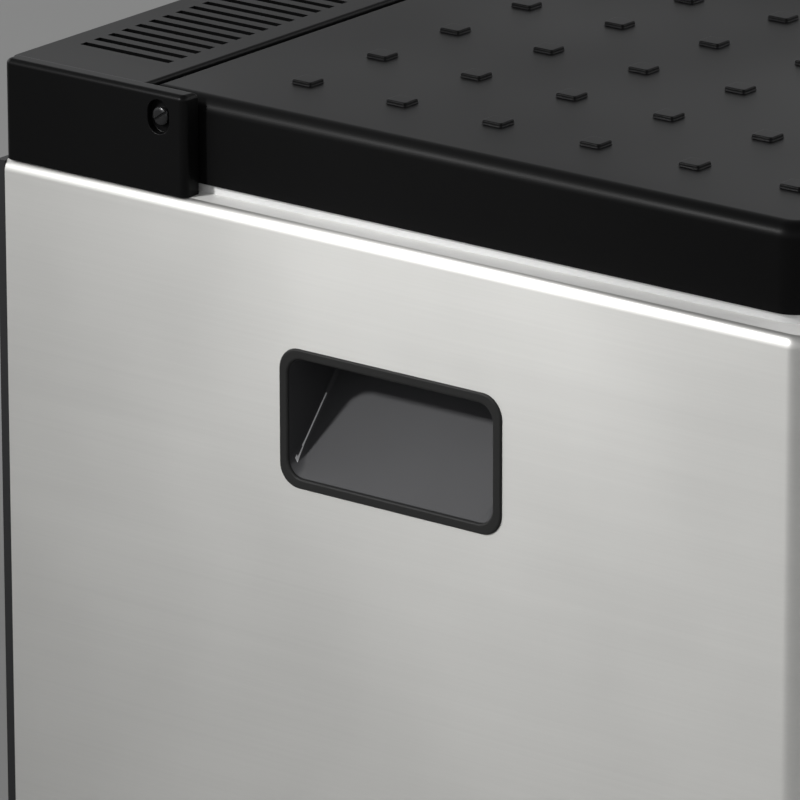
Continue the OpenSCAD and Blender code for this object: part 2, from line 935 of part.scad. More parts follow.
module studs() {
    for (i = [-stud_columns : stud_columns], j = [0 : stud_rows])
        translate([i * stud_pitch_x, pivot_y - stud_from_pivot - j * stud_pitch_y, lid_top - past])
            linear_extrude(stud_h + past)
                round_rect(stud_w, stud_l, 0.8);
}

module lid_shell() {
    color("black")
        difference() {
            union() {
                difference() {
                    lid_form(0, lid_bottom);
                    lid_form(lid_wall, lid_bottom - past);
                }
                lid_pivots(boss_r, lid_x - bush_l, lid_x - lid_wall / 2);
                studs();
            }
            lid_pivots(bush_r, lid_x - bush_l - past, lid_x + past);
            box([-lid_x + lid_wall, pivot_y - 3 * lid_wall, lid_bottom - past],
                [lid_x - lid_wall, pivot_y + past, lid_liner_z]);
        }
}

module lid_foam() {
    plug_x = cavity_x - plug_gap - lid_liner_t;
    color("khaki") {
        intersection() {
            lid_form(lid_wall, lid_bottom - past);
            box([-body_w, -body_d, lid_liner_z + lid_liner_t], [body_w, lid_foam_rear, lid_top]);
        }
        lid_plug(plug_gap + lid_liner_t, plug_bottom + lid_liner_t, lid_liner_z + lid_liner_t + past);
    }
}

// The block under the lid that reaches down into the food compartment
module lid_plug(gap, low, high) {
    translate([0, (cavity_front + cavity_rear) / 2, low])
        linear_extrude(high - low)
            round_rect(2 * (cavity_x - gap), cavity_rear - cavity_front - 2 * gap, liner_corner_r - gap);
}

module lid_liner() {
    plate_r = lid_corner_r - lid_wall;
    color("whitesmoke")
        difference() {
            union() {
                front_rounded_slab(lid_x - lid_wall, lid_front + lid_wall, pivot_y - lid_wall, plate_r,
                    lid_liner_z, lid_liner_z + lid_liner_t);
                lid_plug(plug_gap, plug_bottom, lid_liner_z + past);
            }
            lid_plug(plug_gap + lid_liner_t, plug_bottom + lid_liner_t, lid_liner_z + 2 * lid_liner_t);
        }
}

module lid_gasket() {
    grow = liner_t + (liner_flange_w - seal_w) / 2;
    color("gray")
        translate([0, (cavity_front + cavity_rear) / 2, seal_face + seal_gap])
            linear_extrude(seal_h)
                difference() {
                    round_rect(2 * (cavity_x + grow + seal_w), cavity_rear - cavity_front + 2 * (grow + seal_w),
                        liner_corner_r + seal_w);
                    round_rect(2 * (cavity_x + grow), cavity_rear - cavity_front + 2 * grow, liner_corner_r);
                }
}

// ---- Carrying grips ----

// A column through the right side wall with the outline of the grip's opening, made larger by grow
module grip_column(grow) {
    translate([side_x + 3 * past, 0, grip_z])
        rotate([0, -90, 0])
            linear_extrude(grip_depth + 10)
                round_rect(grip_open_h + 2 * grow, grip_open_w + 2 * grow, grip_open_r + grow);
}

// The grip's pocket in the right side, made larger by grow: its back wall slopes inwards and upwards
module grip_pocket(grow) {
    run = grip_depth - grip_lip;
    rise = slope_end - slope_start;
    shift = grow * norm([run, rise]) / rise;
    heel = slope_start + (run + grow - shift) * rise / run;
    reach = grip_h / 2;
    toe = grip_lip + shift - (reach + slope_start) * run / rise;
    outside = -grip_depth;
    intersection() {
        grip_column(grow);
        translate([side_x, -grip_w / 2, grip_z])
            rotate([-90, 180, 0])
                linear_extrude(grip_w)
                    polygon([[outside, -reach], [toe, -reach], [grip_depth + grow, heel],
                        [grip_depth + grow, reach], [outside, reach]]);
    }
}

module grip_cup() {
    difference() {
        union() {
            intersection() {
                grip_pocket(grip_wall);
                box([0, -body_d, 0], [side_x, body_d, ledge_h]);
            }
            translate([side_x, 0, grip_z])
                rotate([0, 90, 0])
                    flat_surround(grip_h, grip_w, grip_proud, grip_corner_r);
        }
        grip_pocket(0);
    }
}

module grip_cup_left() {
    color("#2a2a2c")
        mirror([1, 0, 0])
            grip_cup();
}

module grip_cup_right() {
    color("#2a2a2c")
        grip_cup();
}

// ---- Control panel ----

// The panel's own frame: x across, y up, z out of the front, z = 0 on the fascia's face
module panel_place(at = [0, 0]) {
    translate([panel_x + at[0], fascia_y, panel_z + at[1]])
        rotate([90, 0, 0])
            children();
}

// The control recess and the space behind it, made larger by grow
module housing_form(grow) {
    panel_place()
        translate([0, 0, housing_floor - grow])
            linear_extrude(panel_recess - housing_floor + grow)
                round_rect(panel_w + 2 * grow, panel_h + 2 * grow, panel_corner_r + grow);
}

module control_housing() {
    flange_w = panel_w + 2 * panel_flange;
    flange_h = panel_h + 2 * panel_flange;
    color("#2a2a2c")
        difference() {
            union() {
                housing_form(housing_wall);
                panel_place()
                    translate([0, 0, panel_recess])
                        flat_surround(flange_w, flange_h, grip_proud, panel_corner_r + panel_flange / 2);
            }
            difference() {
                panel_place()
                    translate([0, 0, housing_floor])
                        linear_extrude(panel_recess - housing_floor + 2 * grip_proud)
                            round_rect(panel_w, panel_h, panel_corner_r);
                housing_bosses(post_r, -fascia_t);
            }
            housing_bosses(small_screw_r + screw_gap, -fascia_t + past);
            channel(gas_supply_path, gas_pipe_r + channel_gap);
            channel(burner_path, gas_pipe_r + channel_gap);
            channel(loom_path, loom_r + channel_gap);
            channel(probe_path, probe_r + channel_gap);
        }
}

// Round posts in the housing's corners, from its back wall up to the given height
module housing_bosses(r, top) {
    for (x = [-boss_x, boss_x], y = [-boss_z, boss_z])
        panel_place([x, y])
            translate([0, 0, housing_floor])
                cylinder(r = r, h = top - housing_floor);
}

module control_fascia() {
    color("#1c1c1e")
        difference() {
            panel_place()
                translate([0, 0, -fascia_t])
                    linear_extrude(fascia_t)
                        round_rect(panel_w - 2 * fascia_gap, panel_h - 2 * fascia_gap,
                            panel_corner_r - fascia_gap);
            for (hole = [
                [selector_at, shaft_r + knob_gap], [thermostat_at, shaft_r + knob_gap],
                [gas_at, shaft_r + ring_w + knob_gap], [igniter_at, igniter_r + 0.3],
                [window_at, window_r + screw_gap], [lamp_at, lamp_r + screw_gap]
            ])
                panel_place(hole[0])
                    translate([0, 0, -fascia_t - past])
                        cylinder(r = hole[1], h = fascia_t + 2 * past);
            for (x = [-boss_x, boss_x], y = [-boss_z, boss_z])
                panel_place([x, y])
                    translate([0, 0, -fascia_t - past])
                        cylinder(r = small_screw_r + screw_gap, h = fascia_t + 2 * past);
        }
}

module fascia_screws() {
    color("silver")
        for (x = [-boss_x, boss_x], y = [-boss_z, boss_z])
            panel_place([x, y])
                pan_screw(2 * small_screw_r, 1.8, small_screw_r, fascia_t + 12);
}

// A knob: a disc with a grip bar across it, from z = low to z = high
module knob_form(r, low, high) {
    disc_h = 4;
    edge = 1;
    bar_w = 7;
    bar_inset = 1.2;
    translate([0, 0, low])
        cylinder(r = r, h = disc_h - edge);
    translate([0, 0, low + disc_h - edge])
        cylinder(r1 = r, r2 = r - edge, h = edge);
    intersection() {
        translate([0, 0, low])
            cylinder(r = r - bar_inset, h = high - low);
        translate([-bar_w / 2, -r, low + edge])
            cube([bar_w, 2 * r, high - low - edge]);
    }
}

module plain_knob() {
    difference() {
        knob_form(knob_r, knob_gap, knob_gap + knob_h);
        translate([0, knob_r - 3 * mark_r, knob_h])
            cylinder(r = mark_r, h = past);
    }
    translate([0, 0, shaft_end])
        cylinder(r = shaft_r, h = 2 - shaft_end);
}

module selector_knob() {
    color("#303033")
        panel_place(selector_at)
            plain_knob();
}

module thermostat_knob() {
    color("#303033")
        panel_place(thermostat_at)
            plain_knob();
}

// A boxed component behind the fascia, with a bearing bore for a shaft
module shaft_block(w, h, low, bore_end) {
    difference() {
        translate([-w / 2, -h / 2, low])
            cube([w, h, body_front - low]);
        translate([0, 0, bore_end])
            cylinder(r = shaft_r + shaft_fit, h = past - bore_end);
    }
}

module selector_switch() {
    color("ivory")
        panel_place(selector_at)
            shaft_block(30, 28, -23, shaft_end - 0.6);
}

module thermostat_body() {
    color("ivory")
        panel_place(thermostat_at)
            shaft_block(34, 30, -24, shaft_end - 0.6);
}

module thermostat_probe() {
    color("peru")
        pipe(probe_path, probe_r);
}

module gas_knob() {
    color("#303033")
        panel_place(gas_at)
            difference() {
                knob_form(gas_knob_r, gas_travel + 1.5 * knob_gap, panel_recess - 0.4);
                cylinder(r = shaft_r, h = spindle_front);
                translate([0, gas_knob_r - 3 * mark_r, panel_recess - past])
                    cylinder(r = mark_r, h = past);
            }
}

module gas_spindle() {
    color("goldenrod")
        panel_place(gas_at) {
            translate([0, 0, shaft_end])
                cylinder(r = shaft_r, h = spindle_front - shaft_end);
            translate([0, 0, collar_front])
                cylinder(r = shaft_r + ring_w, h = 1.5);
        }
}

module gas_thrust_collar() {
    color("silver")
        panel_place(gas_at)
            translate([0, 0, collar_back])
                difference() {
                    cylinder(r = shaft_r + 5, h = collar_front - collar_back);
                    translate([0, 0, -past])
                        cylinder(r = shaft_r + shaft_fit, h = 4 * past);
                }
}

module gas_spring() {
    color("silver")
        panel_place(gas_at)
            translate([0, 0, spring_back])
                coil_spring(shaft_r + 2.5, 0.5, collar_back - spring_back, 4);
}

module gas_valve() {
    half_w = 12;
    color("goldenrod")
        panel_place(gas_at)
            difference() {
                union() {
                    translate([-half_w, -half_w, housing_floor])
                        cube([2 * half_w, 2 * half_w, spring_back - housing_floor]);
                    translate([0, 0, spring_back - past])
                        cylinder(r = shaft_r + 1.4, h = past);
                }
                translate([0, 0, shaft_end - gas_travel - 0.5])
                    cylinder(r = shaft_r + shaft_fit, h = 20);
                for (x = [-port_x, port_x])
                    translate([x, -half_w - past, fascia_y - drop_y])
                        rotate([-90, 0, 0])
                            cylinder(r = gas_pipe_r + channel_gap, h = 1 + past);
            }
}

module igniter_button() {
    edge_z = 8;
    edge = 1;
    color("#b02020")
        panel_place(igniter_at) {
            translate([0, 0, collar_front])
                cylinder(r = igniter_r, h = edge_z - collar_front);
            translate([0, 0, edge_z])
                cylinder(r1 = igniter_r, r2 = igniter_r - edge, h = edge);
            translate([0, 0, collar_back])
                cylinder(r = igniter_r + ring_w, h = collar_front - collar_back);
            translate([0, 0, shaft_end])
                cylinder(r = igniter_stem_r, h = collar_back - shaft_end);
        }
}

module igniter_spring() {
    color("silver")
        panel_place(igniter_at)
            translate([0, 0, spring_back])
                coil_spring(igniter_stem_r + 2, 0.5, collar_back - spring_back, 4);
}

module igniter_body() {
    color("#404045")
        panel_place(igniter_at)
            difference() {
                translate([0, 0, housing_floor])
                    cylinder(r = igniter_r + ring_w, h = spring_back - housing_floor);
                translate([0, 0, shaft_end - igniter_travel - 0.5])
                    cylinder(r = igniter_stem_r + shaft_fit, h = 20);
            }
}

module flame_window() {
    color("lightblue")
        panel_place(window_at) {
            translate([0, 0, -fascia_t])
                cylinder(r = window_r, h = fascia_t + 0.4);
            translate([0, 0, -fascia_t - lens_flange])
                cylinder(r = window_r + lens_flange, h = lens_flange);
        }
}

module power_lamp() {
    color("limegreen")
        panel_place(lamp_at) {
            translate([0, 0, -10])
                cylinder(r = lamp_r, h = 10);
            sphere(r = lamp_r);
            translate([0, 0, -fascia_t - lens_flange])
                cylinder(r = lamp_r + lens_flange, h = lens_flange);
        }
}

// ---- Gas burner ----

module gas_supply_pipe() {
    color("peru")
        pipe(gas_supply_path, gas_pipe_r);
}

module burner_pipe() {
    color("peru")
        pipe(burner_path, gas_pipe_r);
}

// The gas inlet's hose tail, with its elbow behind the rear cover's niche
module gas_nozzle() {
    elbow_wall = 4;
    inner = gas_supply_path[0][1] - gas_pipe_r - elbow_wall;
    color("goldenrod")
        difference() {
            translate([gas_niche_x, 0, niche_z])
                rotate([-90, 0, 0]) {
                    translate([0, 0, inner])
                        cylinder(r = 8, h = 9 + gas_pipe_r + elbow_wall);
                    translate([0, 0, inner + 8])
                        cylinder(r = nozzle_neck_r, h = 14);
                    translate([0, 0, back_face - niche_d])
                        cylinder(r = 7.5, h = 3, $fn = 6);
                    translate([0, 0, back_face - niche_d + 2])
                        cylinder(r = nozzle_r, h = niche_d - 4);
                }
            pipe([gas_supply_path[0], gas_supply_path[1]], gas_pipe_r + screw_gap);
            translate([gas_niche_x, back_face - 14, niche_z])
                rotate([-90, 0, 0])
                    cylinder(r = nozzle_r - 2, h = 20);
        }
}

module burner() {
    tube_r = 6;
    head_r = 8;
    head_top = burner_z + 12;
    color("goldenrod")
        difference() {
            union() {
                bar([burner_left, unit_y, burner_z], [flue_x + 10, unit_y, burner_z], tube_r);
                bar([flue_x, unit_y, burner_z], [flue_x, unit_y, head_top], head_r);
            }
            translate([flue_x, unit_y, burner_z + 3])
                cylinder(r = head_r - 3, h = head_top);
            for (turn = [0 : 45 : 135])
                translate([flue_x, unit_y, head_top - 2])
                    rotate([0, 0, turn])
                        cube([20, 1.5, 5], center = true);
        }
}

module burner_box() {
    half_d = 24;
    vent_inset = 8;
    left = boiler_x - 2;
    right = flue_x + 16;
    front = unit_y - half_d;
    rear = unit_y + half_d;
    color("silver")
        difference() {
            box([left, front, pan_floor], [right, rear, burner_box_top]);
            box([left + burner_box_wall, front + burner_box_wall, pan_floor - past],
                [right - burner_box_wall, rear - burner_box_wall, burner_box_top - burner_box_wall]);
            translate([flue_x, unit_y, burner_box_top - 4])
                cylinder(r = flue_r - flue_wall, h = 10);
            bar([left - past, unit_y, burner_z], [left + 2, unit_y, burner_z], 6.5);
            box([left + vent_inset, front - past, pan_floor + vent_inset],
                [right - vent_inset, rear + past, pan_floor + 2 * vent_inset]);
        }
}

module flue_tube() {
    color("silver")
        translate([flue_x, unit_y, burner_box_top])
            difference() {
                cylinder(r = flue_r, h = foam_top - burner_box_top);
                translate([0, 0, -past])
                    cylinder(r = flue_r - flue_wall, h = foam_top);
            }
}

// ---- Absorption unit ----

module boiler_tube() {
    color("#303030")
        translate([boiler_x, unit_y, boiler_bottom])
            cylinder(r = pipe_r, h = boiler_top - boiler_bottom);
}

module boiler_jacket() {
    low = boiler_bottom + jacket_inset;
    color("lightsteelblue")
        difference() {
            translate([jacket_x, unit_y, low])
                cylinder(r = jacket_r, h = boiler_top - jacket_inset - low);
            translate([flue_x, unit_y, 0])
                cylinder(r = flue_r + channel_gap, h = ledge_h);
            translate([boiler_x, unit_y, 0])
                cylinder(r = pipe_r + channel_gap, h = ledge_h);
            for (side = [-1, 1])
                translate([jacket_x, unit_y + side * heater_offset, heater_low])
                    cylinder(r = heater_r + channel_gap, h = ledge_h);
        }
}

module heater_cartridges() {
    heater_l = 110;
    lead_r = 2;
    lead_l = 60;
    color("gray")
        for (side = [-1, 1])
            translate([jacket_x, unit_y + side * heater_offset, heater_low]) {
                cylinder(r = heater_r, h = heater_l);
                translate([0, 0, heater_l])
                    cylinder(r = lead_r, h = lead_l);
            }
}

module rectifier_pipe() {
    bend_z = condenser_z - 20;
    color("#303030")
        pipe([[boiler_x, unit_y, boiler_top], [boiler_x, unit_y, bend_z], [condenser_right, unit_y, bend_z],
            [condenser_right, unit_y, condenser_z - pipe_r]], pipe_r - 1);
}

module condenser_tube() {
    color("#303030")
        bar([condenser_left + evaporator_r + 1, unit_y, condenser_z],
            [condenser_right + pipe_r + 3, unit_y, condenser_z], pipe_r);
}

module condenser_fins() {
    fin_t = 0.8;
    fin_d = 34;
    fin_h = 40;
    first_fin = condenser_right - 18;
    color("gainsboro")
        for (i = [0 : fin_count - 1])
            translate([first_fin - i * fin_pitch, unit_y, condenser_z])
                difference() {
                    cube([fin_t, fin_d, fin_h], center = true);
                    rotate([0, 90, 0])
                        cylinder(r = pipe_r + screw_gap, h = 4, center = true);
                }
}

module evaporator_tube() {
    color("#303030")
        pipe(evaporator_path, evaporator_r);
}

module cold_plate() {
    half_w = 108;
    low = evaporator_low - 22;
    high = evaporator_top + 18;
    plate_t = 3;
    ribs = 18;
    rib_d = 10;
    rib_t = 1.8;
    rib_inset = 4;
    first_rib = -half_w + 6;
    color("gainsboro") {
        box([-half_w, cavity_rear - plate_t, low], [half_w, cavity_rear, high]);
        for (i = [0 : ribs])
            translate([first_rib * (1 - 2 * i / ribs) - rib_t / 2, cavity_rear - plate_t - rib_d,
                low + rib_inset])
                cube([rib_t, rib_d + past, high - low - 2 * rib_inset]);
    }
}

module vessel_form() {
    bar([coil_left, vessel_y, vessel_z], [coil_right, vessel_y, vessel_z], vessel_r);
}

module gas_heat_exchanger() {
    color("#303030")
        difference() {
            bar([exchanger_x, exchanger_y, vessel_z],
                [exchanger_x, exchanger_y, evaporator_low - evaporator_r - channel_gap], exchanger_r);
            vessel_form();
        }
}

// Five level runs, joined end to end, from the vessel up
module absorber_coil() {
    rises = [for (i = [0 : coil_runs - 1]) coil_low + i * coil_pitch];
    left = coil_left + pipe_r;
    right = coil_right - pipe_r - 4;
    path = concat([[right, vessel_y, vessel_z], [right, vessel_y, coil_low]],
        [for (i = [0 : coil_runs - 1], end = [0, 1])
            let (x = (i + end) % 2 == 0 ? right : left)
            [x, coil_y, rises[i]]]);
    color("#303030")
        difference() {
            pipe(path, pipe_r);
            vessel_form();
        }
}

module absorber_vessel() {
    color("#303030")
        vessel_form();
}

// ---- Electrical inlets ----

// A panel inlet with pins, open towards +Y, standing on the niche's floor
module inlet_pins(places, r) {
    for (p = places)
        translate([p[0], p[1], 1])
            cylinder(r = r, h = 10);
}

module mains_inlet() {
    width = 30;
    height = 24;
    wall = 2.5;
    stem_l = 6;
    color("#202022")
        translate([mains_x, back_face - niche_d, niche_z])
            rotate([-90, 0, 0]) {
                difference() {
                    linear_extrude(inlet_l)
                        round_rect(width, height, 4);
                    translate([0, 0, inlet_floor_t])
                        linear_extrude(inlet_l)
                            round_rect(width - 2 * wall, height - 2 * wall, wall);
                }
                translate([0, 0, -stem_l])
                    cylinder(r = inlet_stem_r, h = stem_l + past);
                inlet_pins([[-6, 2], [0, -3], [6, 2]], 1.6);
            }
}

module battery_inlet() {
    outer_r = 14;
    wall = 2.5;
    stem_l = 3;
    color("#202022")
        translate([battery_x, back_face - niche_d, niche_z])
            rotate([-90, 0, 0]) {
                difference() {
                    cylinder(r = outer_r, h = inlet_l);
                    translate([0, 0, inlet_floor_t])
                        cylinder(r = outer_r - wall, h = inlet_l);
                }
                translate([0, 0, -stem_l])
                    cylinder(r = inlet_stem_r, h = stem_l + past);
                inlet_pins([[-4, 0], [4, 0]], 2);
            }
}

module wiring_loom() {
    color("black")
        pipe(loom_path, loom_r);
}

outer_casing();
base_pan();
feet();
foot_screws();
insulation_body();
inner_liner();
rim_frame();
rear_bulkhead();
rear_cover();
rear_cover_screws();
rear_deck();
hinge_cheek_left();
hinge_cheek_right();
cheek_screws();
hinge_screws();
hinge_bushes();
lid_shell();
lid_foam();
lid_liner();
lid_gasket();
grip_cup_left();
grip_cup_right();
control_housing();
control_fascia();
fascia_screws();
selector_knob();
selector_switch();
thermostat_knob();
thermostat_body();
thermostat_probe();
gas_knob();
gas_spindle();
gas_thrust_collar();
gas_spring();
gas_valve();
igniter_button();
igniter_spring();
igniter_body();
flame_window();
power_lamp();
gas_supply_pipe();
burner_pipe();
gas_nozzle();
burner();
burner_box();
flue_tube();
boiler_tube();
boiler_jacket();
heater_cartridges();
rectifier_pipe();
condenser_tube();
condenser_fins();
evaporator_tube();
cold_plate();
gas_heat_exchanger();
absorber_coil();
absorber_vessel();
mains_inlet();
battery_inlet();
wiring_loom();
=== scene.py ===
"""A portable absorption cool box: its detailed pieces, finishes, camera and studio."""

import json
import logging
import math
from collections.abc import Callable, Iterable, Sequence
from dataclasses import dataclass, field
from enum import Enum

import bmesh
import bpy
from mathutils import Matrix, Vector


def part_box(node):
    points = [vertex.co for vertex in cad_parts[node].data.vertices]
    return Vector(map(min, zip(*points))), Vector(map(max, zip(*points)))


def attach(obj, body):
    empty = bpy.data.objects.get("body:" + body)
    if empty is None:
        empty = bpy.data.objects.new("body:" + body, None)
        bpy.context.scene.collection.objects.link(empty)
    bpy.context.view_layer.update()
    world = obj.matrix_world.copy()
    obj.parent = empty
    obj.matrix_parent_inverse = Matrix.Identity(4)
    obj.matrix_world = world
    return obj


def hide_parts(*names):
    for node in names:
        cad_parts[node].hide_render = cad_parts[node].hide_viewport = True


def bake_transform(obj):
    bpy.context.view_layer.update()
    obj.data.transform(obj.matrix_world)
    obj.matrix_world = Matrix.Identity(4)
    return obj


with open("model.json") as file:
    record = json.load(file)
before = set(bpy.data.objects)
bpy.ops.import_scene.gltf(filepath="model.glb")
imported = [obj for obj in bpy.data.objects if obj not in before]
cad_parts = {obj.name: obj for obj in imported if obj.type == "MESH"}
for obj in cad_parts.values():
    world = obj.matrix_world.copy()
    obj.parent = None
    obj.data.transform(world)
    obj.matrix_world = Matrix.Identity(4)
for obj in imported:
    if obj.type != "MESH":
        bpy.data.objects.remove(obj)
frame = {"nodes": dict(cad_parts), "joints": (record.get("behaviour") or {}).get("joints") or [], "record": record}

LOG = logging.getLogger("cool_box")
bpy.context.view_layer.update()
MM = 0.001
CABINET = "cabinet"
LID = "lid"
Outline = list[tuple[float, float]]


class Side(Enum):
    """A side of the box, with its sign along X."""

    LEFT = -1
    RIGHT = 1


# ---------------------------------------------------------------- shader groups


def _group(name: str, inputs: dict[str, float], outputs: Sequence[str]) -> bpy.types.ShaderNodeTree:
    """Makes an empty shader group with float sockets.

    Args:
        name: The group's name.
        inputs: Each input's name and default value.
        outputs: The names of the float outputs.

    Returns:
        The new group, with its Group Input and Group Output nodes.
    """
    tree = bpy.data.node_groups.new(name, "ShaderNodeTree")
    for label, default in inputs.items():
        socket = tree.interface.new_socket(label, in_out="INPUT", socket_type="NodeSocketFloat")
        socket.default_value = default
    for label in outputs:
        tree.interface.new_socket(label, in_out="OUTPUT", socket_type="NodeSocketFloat")
    tree.nodes.new("NodeGroupInput")
    tree.nodes.new("NodeGroupOutput")
    return tree


def _ends(tree: bpy.types.ShaderNodeTree) -> tuple[bpy.types.Node, bpy.types.Node]:
    """Returns a group's Group Input and Group Output nodes."""
    return tree.nodes["Group Input"], tree.nodes["Group Output"]


def _math(tree: bpy.types.NodeTree, kind: str, *values: object) -> bpy.types.NodeSocket:
    """Adds a Math node.

    Args:
        tree: The tree to add it to.
        kind: The operation, such as MULTIPLY.
        values: Each operand, a number or a socket.

    Returns:
        The node's output socket.
    """
    node = tree.nodes.new("ShaderNodeMath")
    node.operation = kind
    for place, value in enumerate(values):
        if isinstance(value, (int, float)):
            node.inputs[place].default_value = value
        else:
            tree.links.new(value, node.inputs[place])
    return node.outputs[0]


def _noise(tree: bpy.types.NodeTree, vector: bpy.types.NodeSocket, scale: object, detail: float,
           roughness: float = 0.5) -> bpy.types.NodeSocket:
    """Adds a 3D Noise Texture and returns its value.

    Args:
        tree: The tree to add it to.
        vector: The coordinates it reads.
        scale: A number or a socket.
        detail: How many octaves it has.
        roughness: How strong the finer octaves are.

    Returns:
        The noise's Fac socket.
    """
    node = tree.nodes.new("ShaderNodeTexNoise")
    node.inputs["Detail"].default_value = detail
    node.inputs["Roughness"].default_value = roughness
    if isinstance(scale, (int, float)):
        node.inputs["Scale"].default_value = scale
    else:
        tree.links.new(scale, node.inputs["Scale"])
    tree.links.new(vector, node.inputs["Vector"])
    return node.outputs["Fac"]


def _stretched(tree: bpy.types.NodeTree, stretch: tuple[float, float, float]) -> bpy.types.NodeSocket:
    """Returns object coordinates multiplied by a stretch along each axis."""
    where = tree.nodes.new("ShaderNodeTexCoord")
    scale = tree.nodes.new("ShaderNodeVectorMath")
    scale.operation = "MULTIPLY"
    scale.inputs[1].default_value = stretch
    tree.links.new(where.outputs["Object"], scale.inputs[0])
    return scale.outputs[0]


def build_moulded_grain() -> bpy.types.ShaderNodeTree:
    """The spark-eroded texture of a plastic moulding: fine height, slow shade and slow gloss."""
    tree = _group("moulded_grain", {"Grain Scale": 900.0, "Flow Scale": 9.0}, ("Height", "Shade", "Gloss"))
    source, sink = _ends(tree)
    place = _stretched(tree, (1.0, 1.0, 1.0))
    fine = _noise(tree, place, source.outputs["Grain Scale"], 2.0, 0.6)
    cell = tree.nodes.new("ShaderNodeTexVoronoi")
    tree.links.new(place, cell.inputs["Vector"])
    tree.links.new(source.outputs["Grain Scale"], cell.inputs["Scale"])
    mixed = _math(tree, "MULTIPLY_ADD", fine, 0.65, _math(tree, "MULTIPLY", cell.outputs["Distance"], 0.35))
    flow = _noise(tree, place, source.outputs["Flow Scale"], 3.0)
    smear = _noise(tree, place, 2.7, 2.0)
    tree.links.new(mixed, sink.inputs["Height"])
    tree.links.new(flow, sink.inputs["Shade"])
    tree.links.new(smear, sink.inputs["Gloss"])
    return tree


def build_brushed_lines(name: str, stretch: tuple[float, float, float]) -> bpy.types.ShaderNodeTree:
    """Fine parallel brush lines: their height, their lightness and slow handling marks.

    Args:
        name: The group's name.
        stretch: How many times denser the lines are along each axis than along the brushing.

    Returns:
        The shader group.
    """
    tree = _group(name, {"Line Scale": 1.0}, ("Height", "Lightness", "Marks"))
    source, sink = _ends(tree)
    place = _stretched(tree, stretch)
    fine = _noise(tree, place, source.outputs["Line Scale"], 3.0, 0.7)
    broad = _noise(tree, place, _math(tree, "MULTIPLY", source.outputs["Line Scale"], 0.21), 2.0)
    marks = _noise(tree, _stretched(tree, (1.0, 1.0, 1.0)), 6.0, 3.0)
    tree.links.new(fine, sink.inputs["Height"])
    tree.links.new(_math(tree, "MULTIPLY_ADD", fine, 0.6, _math(tree, "MULTIPLY", broad, 0.4)),
                   sink.inputs["Lightness"])
    tree.links.new(marks, sink.inputs["Marks"])
    return tree


class Groups:
    """The shader groups that several finishes share, each built once."""

    def __init__(self) -> None:
        """Builds every group."""
        self.grain = build_moulded_grain()
        self.brush_y = build_brushed_lines("brushed_along_y", (600.0, 4.0, 600.0))
        self.brush_x = build_brushed_lines("brushed_along_x", (4.0, 600.0, 600.0))


GROUPS = Groups()

# ---------------------------------------------------------------- finishes


def _new_material(name: str) -> tuple[bpy.types.Material, bpy.types.NodeTree, bpy.types.Node]:
    """Makes a node material and returns it with its tree and its Principled BSDF."""
    material = bpy.data.materials.new(name)
    material.use_nodes = True
    tree = material.node_tree
    return material, tree, tree.nodes["Principled BSDF"]


def _place_group(tree: bpy.types.NodeTree, group: bpy.types.ShaderNodeTree,
                 **values: float) -> bpy.types.Node:
    """Places a shader group in a material, with its input values by name (underscores for spaces)."""
    node = tree.nodes.new("ShaderNodeGroup")
    node.node_tree = group
    for label, value in values.items():
        node.inputs[label.replace("_", " ")].default_value = value
    return node


def _spread(tree: bpy.types.NodeTree, value: bpy.types.NodeSocket, low: float, high: float,
            start: float = 0.3, end: float = 0.7) -> bpy.types.NodeSocket:
    """Maps a noise value from start..end to low..high."""
    node = tree.nodes.new("ShaderNodeMapRange")
    tree.links.new(value, node.inputs["Value"])
    for label, number in (("From Min", start), ("From Max", end), ("To Min", low), ("To Max", high)):
        node.inputs[label].default_value = number
    return node.outputs["Result"]


def _tint(tree: bpy.types.NodeTree, value: bpy.types.NodeSocket, dark: Sequence[float],
          light: Sequence[float], start: float = 0.3, end: float = 0.7) -> bpy.types.NodeSocket:
    """Turns a noise value into a colour between dark and light."""
    ramp = tree.nodes.new("ShaderNodeValToRGB")
    ramp.color_ramp.elements[0].position = start
    ramp.color_ramp.elements[1].position = end
    ramp.color_ramp.elements[0].color = (*dark[:3], 1.0)
    ramp.color_ramp.elements[1].color = (*light[:3], 1.0)
    tree.links.new(value, ramp.inputs["Fac"])
    return ramp.outputs["Color"]


def _bump(tree: bpy.types.NodeTree, shader: bpy.types.Node, height: bpy.types.NodeSocket,
          strength: float, distance: float) -> None:
    """Feeds a height to the shader's normal through a Bump node."""
    node = tree.nodes.new("ShaderNodeBump")
    node.inputs["Strength"].default_value = strength
    node.inputs["Distance"].default_value = distance
    tree.links.new(height, node.inputs["Height"])
    tree.links.new(node.outputs["Normal"], shader.inputs["Normal"])


def _scaled(colour: Sequence[float], factor: float) -> tuple[float, float, float]:
    """Returns a colour times a factor."""
    return tuple(min(1.0, channel * factor) for channel in colour[:3])


@dataclass(frozen=True)
class Moulded:
    """A moulded plastic or rubber with a fine eroded grain."""

    name: str
    colour: tuple[float, float, float]
    roughness: float = 0.5
    specular: float = 0.3
    grain: float = 0.12
    grain_scale: float = 900.0
    depth: float = 0.00004
    spread: float = 0.08
    coat: float = 0.0

    def build(self) -> bpy.types.Material:
        """Builds the material."""
        material, tree, shader = _new_material(self.name)
        grain = _place_group(tree, GROUPS.grain, Grain_Scale=self.grain_scale)
        colour = _tint(tree, grain.outputs["Shade"], _scaled(self.colour, 0.9), _scaled(self.colour, 1.1))
        tree.links.new(colour, shader.inputs["Base Color"])
        rough = _spread(tree, grain.outputs["Gloss"], self.roughness - self.spread,
                        self.roughness + self.spread)
        tree.links.new(rough, shader.inputs["Roughness"])
        shader.inputs["Specular IOR Level"].default_value = self.specular
        shader.inputs["Coat Weight"].default_value = self.coat
        shader.inputs["Coat Roughness"].default_value = 0.2
        _bump(tree, shader, grain.outputs["Height"], self.grain, self.depth)
        return material


